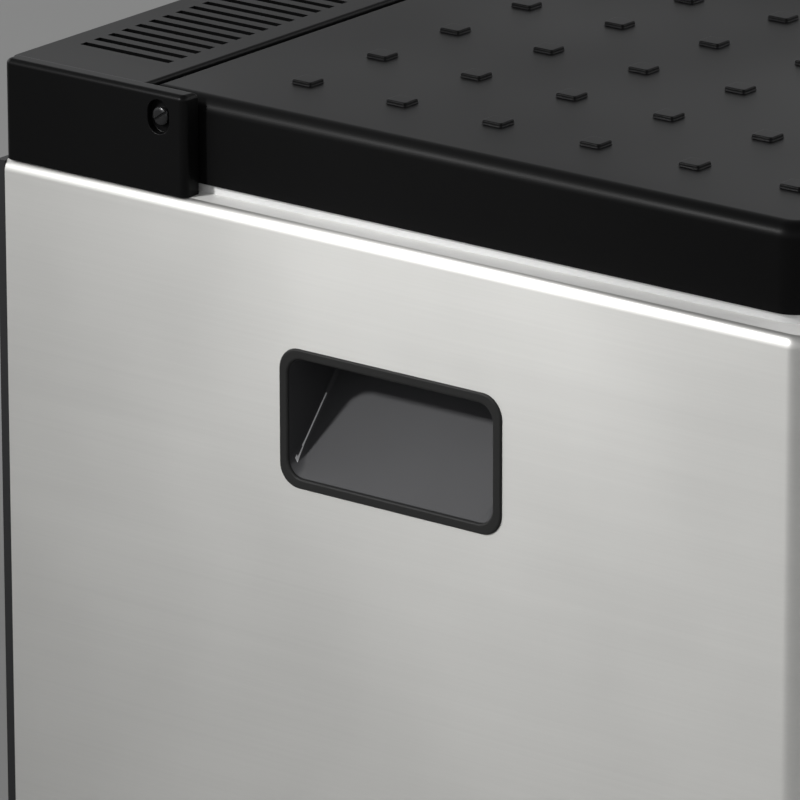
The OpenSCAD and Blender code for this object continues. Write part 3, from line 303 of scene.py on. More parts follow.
@dataclass(frozen=True)
class Brushed:
    """A metal sheet with fine parallel brush lines under a thin clear coat."""

    name: str
    colour: tuple[float, float, float]
    along_x: bool = False
    roughness: float = 0.36
    metallic: float = 1.0
    lines: float = 0.025
    bump: float = 0.03
    stretch: float = 0.6

    def build(self) -> bpy.types.Material:
        """Builds the material."""
        material, tree, shader = _new_material(self.name)
        lines = _place_group(tree, GROUPS.brush_x if self.along_x else GROUPS.brush_y)
        colour = _tint(tree, lines.outputs["Lightness"], _scaled(self.colour, 1.0 - self.lines),
                       _scaled(self.colour, 1.0 + self.lines))
        tree.links.new(colour, shader.inputs["Base Color"])
        rough = _spread(tree, lines.outputs["Marks"], self.roughness - 0.02, self.roughness + 0.03)
        tree.links.new(rough, shader.inputs["Roughness"])
        shader.inputs["Metallic"].default_value = self.metallic
        shader.inputs["Anisotropic"].default_value = self.stretch
        shader.inputs["Anisotropic Rotation"].default_value = 0.25
        _bump(tree, shader, lines.outputs["Height"], self.bump, 0.00002)
        return material


@dataclass(frozen=True)
class Metal:
    """A plated, drawn, machined or painted metal with slight unevenness."""

    name: str
    colour: tuple[float, float, float]
    roughness: float = 0.35
    metallic: float = 1.0
    grain_scale: float = 400.0
    grain: float = 0.08

    def build(self) -> bpy.types.Material:
        """Builds the material."""
        material, tree, shader = _new_material(self.name)
        grain = _place_group(tree, GROUPS.grain, Grain_Scale=self.grain_scale, Flow_Scale=30.0)
        colour = _tint(tree, grain.outputs["Shade"], _scaled(self.colour, 0.86), _scaled(self.colour, 1.08))
        tree.links.new(colour, shader.inputs["Base Color"])
        rough = _spread(tree, grain.outputs["Gloss"], self.roughness - 0.07, self.roughness + 0.09)
        tree.links.new(rough, shader.inputs["Roughness"])
        shader.inputs["Metallic"].default_value = self.metallic
        _bump(tree, shader, grain.outputs["Height"], self.grain, 0.00003)
        return material


@dataclass(frozen=True)
class RigidFoam:
    """Foamed insulation: pale, porous and matt."""

    name: str
    colour: tuple[float, float, float]

    def build(self) -> bpy.types.Material:
        """Builds the material."""
        material, tree, shader = _new_material(self.name)
        grain = _place_group(tree, GROUPS.grain, Grain_Scale=260.0, Flow_Scale=20.0)
        # The colour darkens where the grain's height is low: painted shade in the pores.
        colour = _tint(tree, grain.outputs["Height"], _scaled(self.colour, 0.7), self.colour)
        tree.links.new(colour, shader.inputs["Base Color"])
        shader.inputs["Roughness"].default_value = 0.9
        _bump(tree, shader, grain.outputs["Height"], 0.7, 0.0006)
        return material


@dataclass(frozen=True)
class ClearLens:
    """A clear or coloured lens."""

    name: str
    colour: tuple[float, float, float]
    clear: float = 0.8

    def build(self) -> bpy.types.Material:
        """Builds the material."""
        material, tree, shader = _new_material(self.name)
        grain = _place_group(tree, GROUPS.grain, Grain_Scale=60.0)
        colour = _tint(tree, grain.outputs["Shade"], _scaled(self.colour, 0.92), self.colour)
        tree.links.new(colour, shader.inputs["Base Color"])
        shader.inputs["Roughness"].default_value = 0.08
        shader.inputs["Transmission Weight"].default_value = self.clear
        shader.inputs["IOR"].default_value = 1.5
        return material


class Finishes:
    """Every finish of the object, built once, by the record's material slot."""

    SETTINGS = {
        "brushed_casing": Brushed("brushed_casing", (0.70, 0.695, 0.672), roughness=0.44, metallic=0.85),
        # A lighter, non-metallic copy of the casing metal for the ledge's upward faces: painted light on the
        # bent-over top.
        "brushed_ledge_painted_light": Brushed("brushed_ledge_painted_light", (0.84, 0.835, 0.815), roughness=0.4, metallic=0.0),
        "brushed_front": Brushed("brushed_front", (0.70, 0.695, 0.672), along_x=True, roughness=0.44,
                                 metallic=0.85),
        "black_shell": Moulded("black_shell", (0.0032, 0.0032, 0.0033), 0.43, 0.085, 0.12, 1100.0),
        "grip_black": Moulded("grip_black", (0.021, 0.021, 0.0207), 0.5, 0.12, 0.10, 1000.0),
        "grip_pocket": Moulded("grip_pocket", (0.050, 0.050, 0.0525), 0.5, 0.25, 0.16, 1000.0),
        # A pale glossy strip along the pocket's fillets: a painted highlight line.
        "grip_painted_highlight": Moulded("grip_painted_highlight", (0.75, 0.75, 0.76), 0.25, 0.6, 0.02, 600.0),
        "pan_plastic": Moulded("pan_plastic", (0.02, 0.02, 0.021), 0.55, 0.3, 0.16, 700.0),
        "rim_plastic": Moulded("rim_plastic", (0.64, 0.64, 0.635), 0.36, 0.5, 0.03, 500.0, spread=0.05),
        "liner_plastic": Moulded("liner_plastic", (0.76, 0.77, 0.78), 0.28, 0.5, 0.03, 400.0, spread=0.05),
        "seal_rubber": Moulded("seal_rubber", (0.10, 0.10, 0.105), 0.6, 0.3, 0.12, 500.0),
        "foot_rubber": Moulded("foot_rubber", (0.022, 0.022, 0.022), 0.75, 0.25, 0.3, 350.0, 0.0001),
        "foam": RigidFoam("foam", (0.76, 0.64, 0.36)),
        "zinc_steel": Metal("zinc_steel", (0.60, 0.60, 0.60), 0.42, grain_scale=120.0),
        "screw_steel": Metal("screw_steel", (0.58, 0.58, 0.57), 0.3),
        "black_screw": Metal("black_screw", (0.030, 0.030, 0.031), 0.3, 0.6),
        "brass": Metal("brass", (0.78, 0.58, 0.26), 0.28),
        "copper_pipe": Metal("copper_pipe", (0.75, 0.40, 0.25), 0.3),
        "black_pipe": Metal("black_pipe", (0.025, 0.025, 0.027), 0.45, 0.0),
        "fin_aluminium": Metal("fin_aluminium", (0.80, 0.81, 0.82), 0.34, grain_scale=200.0),
        "jacket_sheet": Metal("jacket_sheet", (0.70, 0.71, 0.72), 0.4, grain_scale=40.0, grain=0.25),
        "knob_plastic": Moulded("knob_plastic", (0.030, 0.030, 0.032), 0.36, 0.4, 0.06, 900.0),
        "fascia_plastic": Moulded("fascia_plastic", (0.018, 0.018, 0.019), 0.5, 0.3, 0.14, 1000.0),
        "print_white": Moulded("print_white", (0.72, 0.72, 0.70), 0.45, 0.4, 0.04, 900.0),
        "switch_plastic": Moulded("switch_plastic", (0.68, 0.65, 0.55), 0.35, 0.5, 0.05, 500.0),
        "igniter_red": Moulded("igniter_red", (0.36, 0.02, 0.016), 0.22, 0.5, 0.03, 500.0, coat=0.3),
        "lamp_green": ClearLens("lamp_green", (0.08, 0.55, 0.16), 0.5),
        "window_glass": ClearLens("window_glass", (0.85, 0.9, 0.92), 0.9),
        "bush_plastic": Moulded("bush_plastic", (0.60, 0.56, 0.46), 0.4, 0.4, 0.05, 500.0),
        "wire_black": Moulded("wire_black", (0.016, 0.016, 0.016), 0.45, 0.35, 0.1, 700.0),
    }

    def __init__(self) -> None:
        """Builds every material."""
        self.materials = {name: finish.build() for name, finish in self.SETTINGS.items()}

    def __getitem__(self, name: str) -> bpy.types.Material:
        """Returns a material by its slot."""
        return self.materials[name]

    def dress_frame(self) -> None:
        """Gives every CAD node the detailed material of its slot."""
        for part in frame["record"]["subparts"]:
            node = frame["nodes"][part["node"]]
            node.data.materials.clear()
            node.data.materials.append(self[part["material_slot"]])


FINISHES = Finishes()

# ---------------------------------------------------------------- mesh tools


def arc(centre: tuple[float, float], radius: float, start: float, end: float, steps: int) -> Outline:
    """Returns points along an arc, angles in degrees, with both ends."""
    return [
        (
            centre[0] + radius * math.cos(math.radians(start + (end - start) * k / steps)),
            centre[1] + radius * math.sin(math.radians(start + (end - start) * k / steps)),
        )
        for k in range(steps + 1)
    ]


def quarter(steps: int, first: int = 0) -> list[tuple[float, float]]:
    """Returns 1 - cos and sin at each step of a quarter turn, for rounding an edge.

    Args:
        steps: How many steps the quarter turn has.
        first: The step to start at.

    Returns:
        How far the edge has gone in and how far it has risen, as shares of its radius.
    """
    turns = [math.radians(90 * k / steps) for k in range(first, steps + 1)]
    return [(1 - math.cos(turn), math.sin(turn)) for turn in turns]


def rounded(left: float, right: float, low: float, high: float, low_r: float, high_r: float,
            steps: int = 10) -> Outline:
    """A closed rectangle with two radii, anticlockwise from its lower right corner.

    Args:
        left: Its lowest first coordinate.
        right: Its highest first coordinate.
        low: Its lowest second coordinate.
        high: Its highest second coordinate.
        low_r: The radius of the two corners on the low side.
        high_r: The radius of the two corners on the high side.
        steps: Segments in each corner.

    Returns:
        The outline's points.
    """
    return (
        arc((right - low_r, low + low_r), low_r, -90, 0, steps)
        + arc((right - high_r, high - high_r), high_r, 0, 90, steps)
        + arc((left + high_r, high - high_r), high_r, 90, 180, steps)
        + arc((left + low_r, low + low_r), low_r, 180, 270, steps)
    )


class Mould:
    """A mesh being made, in metres, out of lofts, blocks, rods and turned shapes."""

    def __init__(self) -> None:
        """Starts an empty mesh."""
        self.mesh = bmesh.new()

    def loft(self, rings: Iterable[Iterable[Vector]], closed: bool = True, caps: bool = True) -> "Mould":
        """Skins a row of rings that have the same number of points.

        Args:
            rings: The rings, from one end to the other.
            closed: Whether each ring's last point joins its first.
            caps: Whether the first and last rings are closed with a face.

        Returns:
            This mould.
        """
        rows = [[self.mesh.verts.new(point) for point in ring] for ring in rings]
        span = len(rows[0]) if closed else len(rows[0]) - 1
        for low, high in zip(rows, rows[1:]):
            for k in range(span):
                n = (k + 1) % len(low)
                self.mesh.faces.new((low[k], low[n], high[n], high[k]))
        if caps:
            self.mesh.faces.new(list(reversed(rows[0])))
            self.mesh.faces.new(rows[-1])
        return self

    def slab(self, outline: Outline, low: float, high: float,
             place: Matrix = Matrix.Identity(4)) -> "Mould":
        """Extrudes a closed outline from low to high along the place's Z."""
        return self.loft([[place @ Vector((x, y, z)) for x, y in outline] for z in (low, high)])

    def block(self, low: Sequence[float], high: Sequence[float],
              place: Matrix = Matrix.Identity(4)) -> "Mould":
        """Adds a box between two corners."""
        outline = [(low[0], low[1]), (high[0], low[1]), (high[0], high[1]), (low[0], high[1])]
        return self.slab(outline, low[2], high[2], place)

    def turned(self, profile: Outline, place: Matrix = Matrix.Identity(4), steps: int = 48) -> "Mould":
        """Turns a profile of (radius, height) points about the place's Z, with a face over each open end.

        Args:
            profile: The points from one end to the other, with every radius over zero. A profile whose
                last point is its first makes a ring, which has no end faces.
            place: Where the shape's own frame stands.
            steps: Segments around the axis.

        Returns:
            This mould.
        """
        turns = [2 * math.pi * k / steps for k in range(steps)]
        rings = [
            [place @ Vector((r * math.cos(turn), r * math.sin(turn), z)) for turn in turns] for r, z in profile
        ]
        return self.loft(rings, caps=profile[0] != profile[-1])

    def bevel(self, width: float, segments: int, keep: Callable[[bmesh.types.BMEdge], bool]) -> "Mould":
        """Rounds the edges that keep(edge) chooses."""
        edges = [edge for edge in self.mesh.edges if keep(edge)]
        bmesh.ops.bevel(self.mesh, geom=edges, offset=width, segments=segments, profile=0.5,
                        affect="EDGES")
        return self

    def piece(self, name: str, finish: str, body: str = CABINET, stands_for: Sequence[str] = (),
              soften: float = 0.0, sharp: float = 35.0, cutters: Sequence["Mould"] = (),
              slot: str = "", stretch: Sequence[object] = ()) -> bpy.types.Object:
        """Turns the mould into a finished piece of the object.

        Args:
            name: The piece's name.
            finish: The finish it is dressed in.
            body: The body it rides on.
            stands_for: The CAD nodes that it replaces.
            soften: The width of a small bevel on every sharp edge, in metres.
            sharp: The angle in degrees over which an edge is sharp.
            cutters: Moulds whose space is cut out of it.
            slot: The record's material slot, if it isn't the finish. Not used.
            stretch: For a spring, the body that presses its far end, and the points where it starts
            and ends; when it is given, the piece stays where it is and rides on no body.

        Returns:
            The new object.
        """
        obj = _object(name, self.mesh)
        for tool in cutters:
            _cut(obj, _object(name + "_cutter", tool.mesh))
        _shade(obj, sharp)
        if soften:
            bevel = obj.modifiers.new("soft_edges", "BEVEL")
            bevel.width = soften
            bevel.segments = 3
            bevel.limit_method = "ANGLE"
            bevel.angle_limit = math.radians(sharp)
            bevel.harden_normals = False
        obj.modifiers.new("flat_faces_stay_flat", "WEIGHTED_NORMAL").keep_sharp = True
        obj.data.materials.append(FINISHES[finish])
        if stretch:
            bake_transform(obj)
        else:
            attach(obj, body)
        if stands_for:
            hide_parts(*stands_for)
        LOG.info("%s rides on %s", name, body)
        return obj


def _object(name: str, mesh: bmesh.types.BMesh) -> bpy.types.Object:
    """Turns a bmesh into an object and frees it."""
    bmesh.ops.remove_doubles(mesh, verts=mesh.verts, dist=1e-7)
    bmesh.ops.recalc_face_normals(mesh, faces=mesh.faces)
    data = bpy.data.meshes.new(name)
    mesh.to_mesh(data)
    mesh.free()
    obj = bpy.data.objects.new(name, data)
    bpy.context.scene.collection.objects.link(obj)
    return obj


def _cut(obj: bpy.types.Object, tool: bpy.types.Object) -> None:
    """Cuts a tool out of an object for good and removes the tool."""
    cut = obj.modifiers.new("cut", "BOOLEAN")
    cut.operation = "DIFFERENCE"
    cut.solver = "EXACT"
    cut.object = tool
    graph = bpy.context.evaluated_depsgraph_get()
    data = bpy.data.meshes.new_from_object(obj.evaluated_get(graph))
    obj.modifiers.clear()
    old = obj.data
    obj.data = data
    bpy.data.meshes.remove(old)
    bpy.data.objects.remove(tool)


def _shade(obj: bpy.types.Object, sharp: float) -> None:
    """Shades an object smooth, with edges over an angle in degrees kept sharp."""
    mesh = bmesh.new()
    mesh.from_mesh(obj.data)
    for face in mesh.faces:
        face.smooth = True
    limit = math.radians(sharp)
    for edge in mesh.edges:
        edge.smooth = len(edge.link_faces) == 2 and edge.calc_face_angle(0.0) < limit
    mesh.to_mesh(obj.data)
    mesh.free()


def toward(axis: str) -> Matrix:
    """A frame whose Z points along -X, +X, -Y or +Y, whose Y is up on the object."""
    columns = {
        "-X": ((0, -1, 0), (0, 0, 1), (-1, 0, 0)),
        "+X": ((0, 1, 0), (0, 0, 1), (1, 0, 0)),
        "-Y": ((1, 0, 0), (0, 0, 1), (0, -1, 0)),
        "+Y": ((-1, 0, 0), (0, 0, 1), (0, 1, 0)),
    }[axis]
    return Matrix(columns).transposed().to_4x4()


def at(point: Sequence[float], axis: str) -> Matrix:
    """A frame at a point whose Z points along a named axis."""
    return Matrix.Translation(Vector(point)) @ toward(axis)


# ---------------------------------------------------------------- casing and rim


@dataclass
class Casing:
    """The brushed metal wrap: two sides and a front, bent over at the top."""

    sheet: float = 1.0 * MM
    corner: float = 14 * MM
    bend: float = 4.5 * MM
    bend_h: float = 6.5 * MM
    ledge: float = 16.5 * MM
    ledge_corner: float = 12.3 * MM
    grip_open: tuple[float, float, float] = (67.0 * MM, 33.9 * MM, 11.5 * MM)
    panel_lip: float = 6 * MM
    panel_corner: float = 10 * MM
    cut: float = 10 * MM
    low: Vector = field(default_factory=lambda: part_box("outer_casing")[0])
    high: Vector = field(default_factory=lambda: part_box("outer_casing")[1])

    def outline(self, inset: float, corner: float, z: float) -> list[Vector]:
        """The open outline round the two front corners at a height, moved in by inset."""
        half, front, rear = self.high.x - inset, self.low.y + inset, self.high.y
        points = [(-half, rear)]
        points += arc((-half + corner, front + corner), corner, 180, 270, 16)
        points += arc((half - corner, front + corner), corner, 270, 360, 16)
        points += [(half, rear)]
        return [Vector((x, y, z)) for x, y in points]

    def profile(self) -> list[tuple[float, float, float]]:
        """The wrap's section from the bottom edge to the ledge's inner edge: inset, corner and height."""
        top = self.high.z
        rows = [(0.0, self.corner, self.low.z), (0.0, self.corner, top - self.bend_h)]
        for went_in, rose in quarter(20, 1):
            inset = self.bend * went_in
            rows.append((inset, self.corner - inset, top - self.bend_h + self.bend_h * rose))
        rows.append((self.ledge, self.ledge_corner, top))
        return rows

    def inner(self) -> list[tuple[float, float, float]]:
        """The same section on the inside of the sheet, from the ledge down."""
        top = self.high.z - self.sheet
        inner_bend, inner_h = self.bend - self.sheet, self.bend_h - self.sheet
        rows = [(self.ledge, self.ledge_corner, top)]
        for went_in, rose in reversed(quarter(8)):
            inset = self.sheet + inner_bend * went_in
            rows.append((inset, self.corner - inset, top - inner_h + inner_h * rose))
        rows.append((self.sheet, self.corner - self.sheet, self.low.z))
        return rows

    def build(self) -> None:
        """Builds the wrap and cuts the grips' and the control panel's openings."""
        mould = Mould()
        rows = self.profile() + self.inner()
        rings = [self.outline(inset, corner, z) for inset, corner, z in rows]
        columns = [[ring[k] for ring in rings] for k in range(len(rings[0]))]
        mould.loft(columns)
        cutters = []
        grip_low, grip_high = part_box("grip_cup_left")
        middle = (grip_low.z + grip_high.z) / 2
        half_w, half_h, radius = self.grip_open
        for side in Side:
            tool = Mould()
            tool.slab(rounded(-half_w, half_w, -half_h, half_h, radius, radius), -self.cut, self.cut,
                      at((side.value * self.high.x, 0, middle), "+X"))
            cutters.append(tool)
        panel_low, panel_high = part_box("control_housing")
        tool = Mould()
        centre = (panel_low + panel_high) / 2
        half_w = (panel_high.x - panel_low.x) / 2 - self.panel_lip
        half_h = (panel_high.z - panel_low.z) / 2 - self.panel_lip
        tool.slab(rounded(-half_w, half_w, -half_h, half_h, self.panel_corner, self.panel_corner),
                  -self.cut, self.cut, at((centre.x, self.low.y, centre.z), "-Y"))
        cutters.append(tool)
        wrap = mould.piece("casing_wrap", "brushed_casing", stands_for=["outer_casing"], cutters=cutters)
        for finish in ("brushed_front", "brushed_ledge_painted_light"):
            wrap.data.materials.append(FINISHES[finish])
        # Upward faces (the ledge) take the lighter copy of the casing metal, which is painted light; faces turned
        # to the front take the metal brushed along X.
        for face in wrap.data.polygons:
            if face.normal.z > 0.99:
                face.material_index = 2
            elif face.normal.y < -0.75:
                face.material_index = 1


@dataclass
class GripCups:
    """The recessed carrying grips: a rounded surround and a pocket whose back wall slopes up and in."""

    border: float = 5.5 * MM
    corner: float = 12.0 * MM
    lip: float = 3.0 * MM
    slope_low: float = 3.2 * MM
    slope_high: float = 11.0 * MM
    depth: float = 44.0 * MM
    wall: float = 2.5 * MM
    fillet: float = 2.6 * MM
    proud: float = 1.2 * MM
    outer_edge: float = 1.1 * MM
    inner_edge: float = 1.5 * MM
    opening_step: float = 3 * MM
    # The depths and the facing band of the painted highlight line along the fillets between the back wall and the
    # end walls.
    painted_highlight_depths: tuple[float, float] = (4.05 * MM, 29.92 * MM)
    painted_highlight_turn: tuple[float, float] = (0.58, 0.80)

    def build_side(self, side: Side) -> None:
        """Builds one grip cup."""
        node = f"grip_cup_{side.name.lower()}"
        low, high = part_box(node)
        half_w, half_h = (high.y - low.y) / 2, (high.z - low.z) / 2
        face = (high.x if side is Side.RIGHT else -low.x) - self.proud
        open_w, open_h = half_w - self.border, half_h - self.border
        open_r = self.corner - self.opening_step
        place = at((side.value * face, (low.y + high.y) / 2, (low.z + high.z) / 2),
                   "+X" if side is Side.RIGHT else "-X")
        start, end = -open_h + self.slope_low, open_h - self.slope_high
        run = self.depth - self.lip

        def ring(outset: float, bottom: float, low_r: float, depth: float) -> list[Vector]:
            """The outline at a depth, with its own lower edge."""
            shape = rounded(-open_w - outset, open_w + outset, bottom, open_h + outset, low_r,
                            open_r + min(outset, self.opening_step))
            return [place @ Vector((x, y, -depth)) for x, y in shape]

        def floor(depth: float, grow: float) -> float:
            """The height of the back wall at a depth."""
            drop = grow * math.hypot(run, end - start) / run
            slope = start + (depth - self.lip) * (end - start) / run - drop
            return max(-open_h - grow, slope)

        def corner_at(depth: float) -> float:
            """The radius between the back wall and the end walls, which starts as the opening's."""
            blend = min(1.0, max(0.0, (depth - 0.5 * self.lip) / (4.0 * self.lip)))
            return open_r + (self.fillet - open_r) * blend * blend * (3 - 2 * blend)

        rings = []
        outer_steps = 12
        for k in range(outer_steps, -1, -1):
            depth = (self.depth + self.wall) * k / outer_steps
            rings.append(ring(self.wall, floor(depth, self.wall), corner_at(depth) + self.wall, depth))
        rings.append(ring(self.border, -open_h - self.border, self.corner, 0.0))
        for went_in, rose in quarter(6, 1):
            outset = self.border - self.outer_edge * went_in
            rings.append(ring(outset, -open_h - outset, self.corner - (self.border - outset),
                              -(self.proud - self.outer_edge) - self.outer_edge * rose))
        for sank, went_in in quarter(8):
            outset = self.inner_edge * (1 - went_in)
            depth = self.inner_edge * sank - self.proud
            rings.append(ring(outset, -open_h - outset, open_r + outset, depth))
        shallow = self.inner_edge - self.proud
        for k in range(1, 41):
            share = k / 40
            depth = shallow + (self.depth - shallow) * share ** 1.35
            rings.append(ring(0.0, floor(depth, 0.0), corner_at(depth), depth))
        name = f"{side.name.lower()}_grip"
        cup = Mould().loft(rings).piece(name, "grip_black", stands_for=[node], sharp=50)
        self.dress_pocket(cup, place)

    def dress_pocket(self, cup: bpy.types.Object, place: Matrix) -> None:
        """Dresses the pocket's walls, and paints a pale glossy line along the fillets where its back wall meets
        its end walls: a painted highlight.
        """
        for finish in ("grip_pocket", "grip_painted_highlight"):
            cup.data.materials.append(FINISHES[finish])
        inward = place.inverted()
        half_w = (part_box("grip_cup_left")[1].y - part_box("grip_cup_left")[0].y) / 2 - self.border
        for face in cup.data.polygons:
            spot = inward @ face.center
            turn = inward.to_3x3() @ face.normal
            near_end = 0 < half_w - abs(spot.x) < self.fillet * 1.3
            at_depth = self.painted_highlight_depths[0] < -spot.z < self.painted_highlight_depths[1]
            in_painted_highlight_band = self.painted_highlight_turn[0] < abs(turn.x) < self.painted_highlight_turn[1]
            # Faces in a thin band along each fillet get the pale glossy finish: a painted highlight line.
            if near_end and at_depth and in_painted_highlight_band and turn.y > 0.05:
                face.material_index = 2
            elif spot.z < -self.proud / 3:
                face.material_index = 1

    def build(self) -> None:
        """Builds both grip cups."""
        for side in Side:
            self.build_side(side)


# ---------------------------------------------------------------- lid and hinge


@dataclass
class Lid:
    """The lid's outer shell with its anti-slip studs."""

    wall: float = 2.5 * MM
    corner: float = 16 * MM
    edge: float = 8 * MM
    nose: float = 17 * MM
    stud: tuple[float, float, float] = (11.5 * MM, 12.5 * MM, 2.0 * MM)
    stud_pitch: tuple[float, float] = (61.2 * MM, 60.4 * MM)
    stud_start: float = 44 * MM
    stud_corner: float = 1.3 * MM
    bush_bore: float = 6 * MM
    columns: int = 3
    rows: int = 6

    def __post_init__(self) -> None:
        """Reads the shell's sides and the hinge axis from the frame."""
        self.low, self.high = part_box("lid_shell")
        self.top = self.high.z - self.stud[2]
        hinge = next(joint for joint in frame["joints"] if joint["name"] == "lid_hinge")
        self.pivot = Vector(hinge["pos_m"])

    def rear(self, z: float, inset: float) -> float:
        """How far back the shell reaches at a height."""
        rise = z - self.pivot.z
        nose = self.nose - inset
        if rise < -nose:
            return self.pivot.y - inset
        return self.pivot.y + math.sqrt(max(nose * nose - rise * rise, 0.0))

    def ring(self, z: float, inset: float, round_in: float, rear: float) -> list[Vector]:
        """The shell's outline at a height."""
        half = self.high.x - inset - round_in
        corner = self.corner - inset - round_in
        shape = rounded(-half, half, self.low.y + inset + round_in, rear, corner, 0.5 * MM)
        return [Vector((x, y, z)) for x, y in shape]

    def skin(self, inset: float) -> list[list[Vector]]:
        """The rings of the outer (inset 0) or inner skin, from the skirt's foot to the top."""
        top = self.top - inset
        edge = self.edge - inset
        rings = [self.ring(self.low.z, inset, 0.0, self.pivot.y - inset)]
        nose = self.nose - inset
        foot = self.pivot.z - nose
        rings.append(self.ring(foot, inset, 0.0, self.pivot.y - inset))
        bend = top - edge
        for k in range(1, 13):
            z = self.pivot.z - nose * math.cos(math.radians(90 * k / 12))
            rear = max(self.rear(z, inset), self.pivot.y - inset)
            rings.append(self.ring(min(z, bend - 0.4 * MM), inset, 0.0, rear))
        for k in range(0, 17):
            turn = math.radians(90 * k / 16)
            z = bend + edge * math.sin(turn)
            soften = 1.2 * MM * max(0.0, (k - 10) / 6) ** 2
            rings.append(self.ring(z, inset, edge * (1 - math.cos(turn)), self.rear(z, inset) - soften))
        return rings

    def build(self) -> None:
        """Builds the shell, opens its underside and sets its studs."""
        mould = Mould()
        mould.loft(list(reversed(self.skin(self.wall))) + self.skin(0.0))
        gap = 3 * self.wall
        inner = self.high.x - self.wall
        tool = Mould().block((-inner, self.pivot.y - gap, self.low.z - 0.01),
                             (inner, self.pivot.y + 1 * MM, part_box("lid_liner")[1].z - self.wall))
        pins = []
        for side in Side:
            place = at((side.value * (self.high.x - 0.02), self.pivot.y, self.pivot.z), "+X")
            pins.append(Mould().turned([(self.bush_bore, -0.03), (self.bush_bore, 0.03)], place))
        mould.piece("lid_top_shell", "black_shell", LID, ["lid_shell"], cutters=[tool, *pins], sharp=40)
        self.build_studs()

    def build_studs(self) -> None:
        """Builds the rows of low square studs, each with a soft edge and a foot that runs into the lid."""
        width, length, height = self.stud
        mould = Mould()
        levels = ((0.35 * MM, -0.3 * MM), (0.35 * MM, 0.0), (0.12 * MM, 0.18 * MM), (0.0, 0.5 * MM),
                  (0.0, height - 0.7 * MM), (0.09 * MM, height - 0.38 * MM), (0.33 * MM, height - 0.12 * MM),
                  (0.75 * MM, height))
        for column in range(-self.columns, self.columns + 1):
            for row in range(self.rows):
                x = column * self.stud_pitch[0]
                y = self.pivot.y - self.stud_start - row * self.stud_pitch[1]
                rings = []
                for inset, z in levels:
                    out = inset if z > 0.3 * MM else -inset
                    half_w, half_l = width / 2 - out, length / 2 - out
                    shape = rounded(x - half_w, x + half_w, y - half_l, y + half_l, self.stud_corner,
                                    self.stud_corner, 4)
                    rings.append([Vector((px, py, self.top + z)) for px, py in shape])
                mould.loft(rings)
        mould.piece("anti_slip_studs", "black_shell", LID, sharp=60)


@dataclass
class HingeCheeks:
    """The two cheeks that carry the lid, with their slotted shoulder screws."""

    front_edge: float = 4 * MM
    top_edge: float = 3 * MM
    bore: tuple[float, float, float] = (7.0 * MM, 9.0 * MM, 4.0 * MM)
    head: tuple[float, float] = (5.0 * MM, 3.2 * MM)
    shoulder: float = 3 * MM
    shoulder_l: float = 24 * MM
    slot: float = 1.4 * MM
    slot_angle: float = 35.0

    def __post_init__(self) -> None:
        """Reads the hinge axis from the frame."""
        hinge = next(joint for joint in frame["joints"] if joint["name"] == "lid_hinge")
        self.pivot = Vector(hinge["pos_m"])

    def build_side(self, side: Side) -> None:
        """Builds one cheek and its screw."""
        node = f"hinge_cheek_{side.name.lower()}"
        low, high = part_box(node)
        outer = high.x if side is Side.RIGHT else low.x
        rim = Mould().block(low, high)

        def upright_front(edge: bmesh.types.BMEdge) -> bool:
            """Is this an upright edge of the cheek's outer face?"""
            a, b = (vert.co for vert in edge.verts)
            return abs(a.x - outer) < 1e-6 and abs(b.x - outer) < 1e-6 and abs(a.z - b.z) > 1e-4

        def top(edge: bmesh.types.BMEdge) -> bool:
            """Is this an edge of the cheek's top face?"""
            a, b = (vert.co for vert in edge.verts)
            return abs(a.z - high.z) < 1e-6 and abs(b.z - high.z) < 1e-6

        rim.bevel(self.front_edge, 8, upright_front)
        rim.bevel(self.top_edge, 8, top)
        half_w, half_h, deep = self.bore
        tool = Mould().slab(rounded(-half_w, half_w, -half_h, half_h, half_w - 1e-5, half_w - 1e-5, 14),
                            -deep, 0.01,
                            at((outer, self.pivot.y, self.pivot.z), "+X" if side is Side.RIGHT else "-X"))
        rim.piece(f"{side.name.lower()}_hinge_cheek", "black_shell", stands_for=[node], soften=0.35 * MM,
                  cutters=[tool], sharp=38)

    def build_screws(self) -> None:
        """Builds both shoulder screws as one piece, each with a slot across its domed head."""
        mould = Mould()
        cutters = []
        radius, height = self.head
        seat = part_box("hinge_cheek_right")[1].x - self.bore[2]
        for side in Side:
            place = at((side.value * seat, self.pivot.y, self.pivot.z), "+X" if side is Side.RIGHT else "-X")
            mould.turned(
                [(0.05 * MM, -self.shoulder_l), (self.shoulder, -self.shoulder_l), (self.shoulder, 0.0),
                 (radius, 0.0), (radius, height * 0.6), (radius * 0.96, height * 0.78),
                 (radius * 0.84, height * 0.92), (radius * 0.6, height), (0.05 * MM, height)], place)
            turn = place @ Matrix.Rotation(math.radians(self.slot_angle), 4, "Z")
            cutters.append(Mould().block((-radius * 1.2, -self.slot / 2, height - self.slot),
                                         (radius * 1.2, self.slot / 2, height + self.slot), turn))
        mould.piece("hinge_shoulder_screws", "black_screw", stands_for=["hinge_screws"], soften=0.15 * MM,
                    cutters=cutters)

    def build(self) -> None:
        """Builds both cheeks and their screws."""
        for side in Side:
            self.build_side(side)
        self.build_screws()


# ---------------------------------------------------------------- control panel


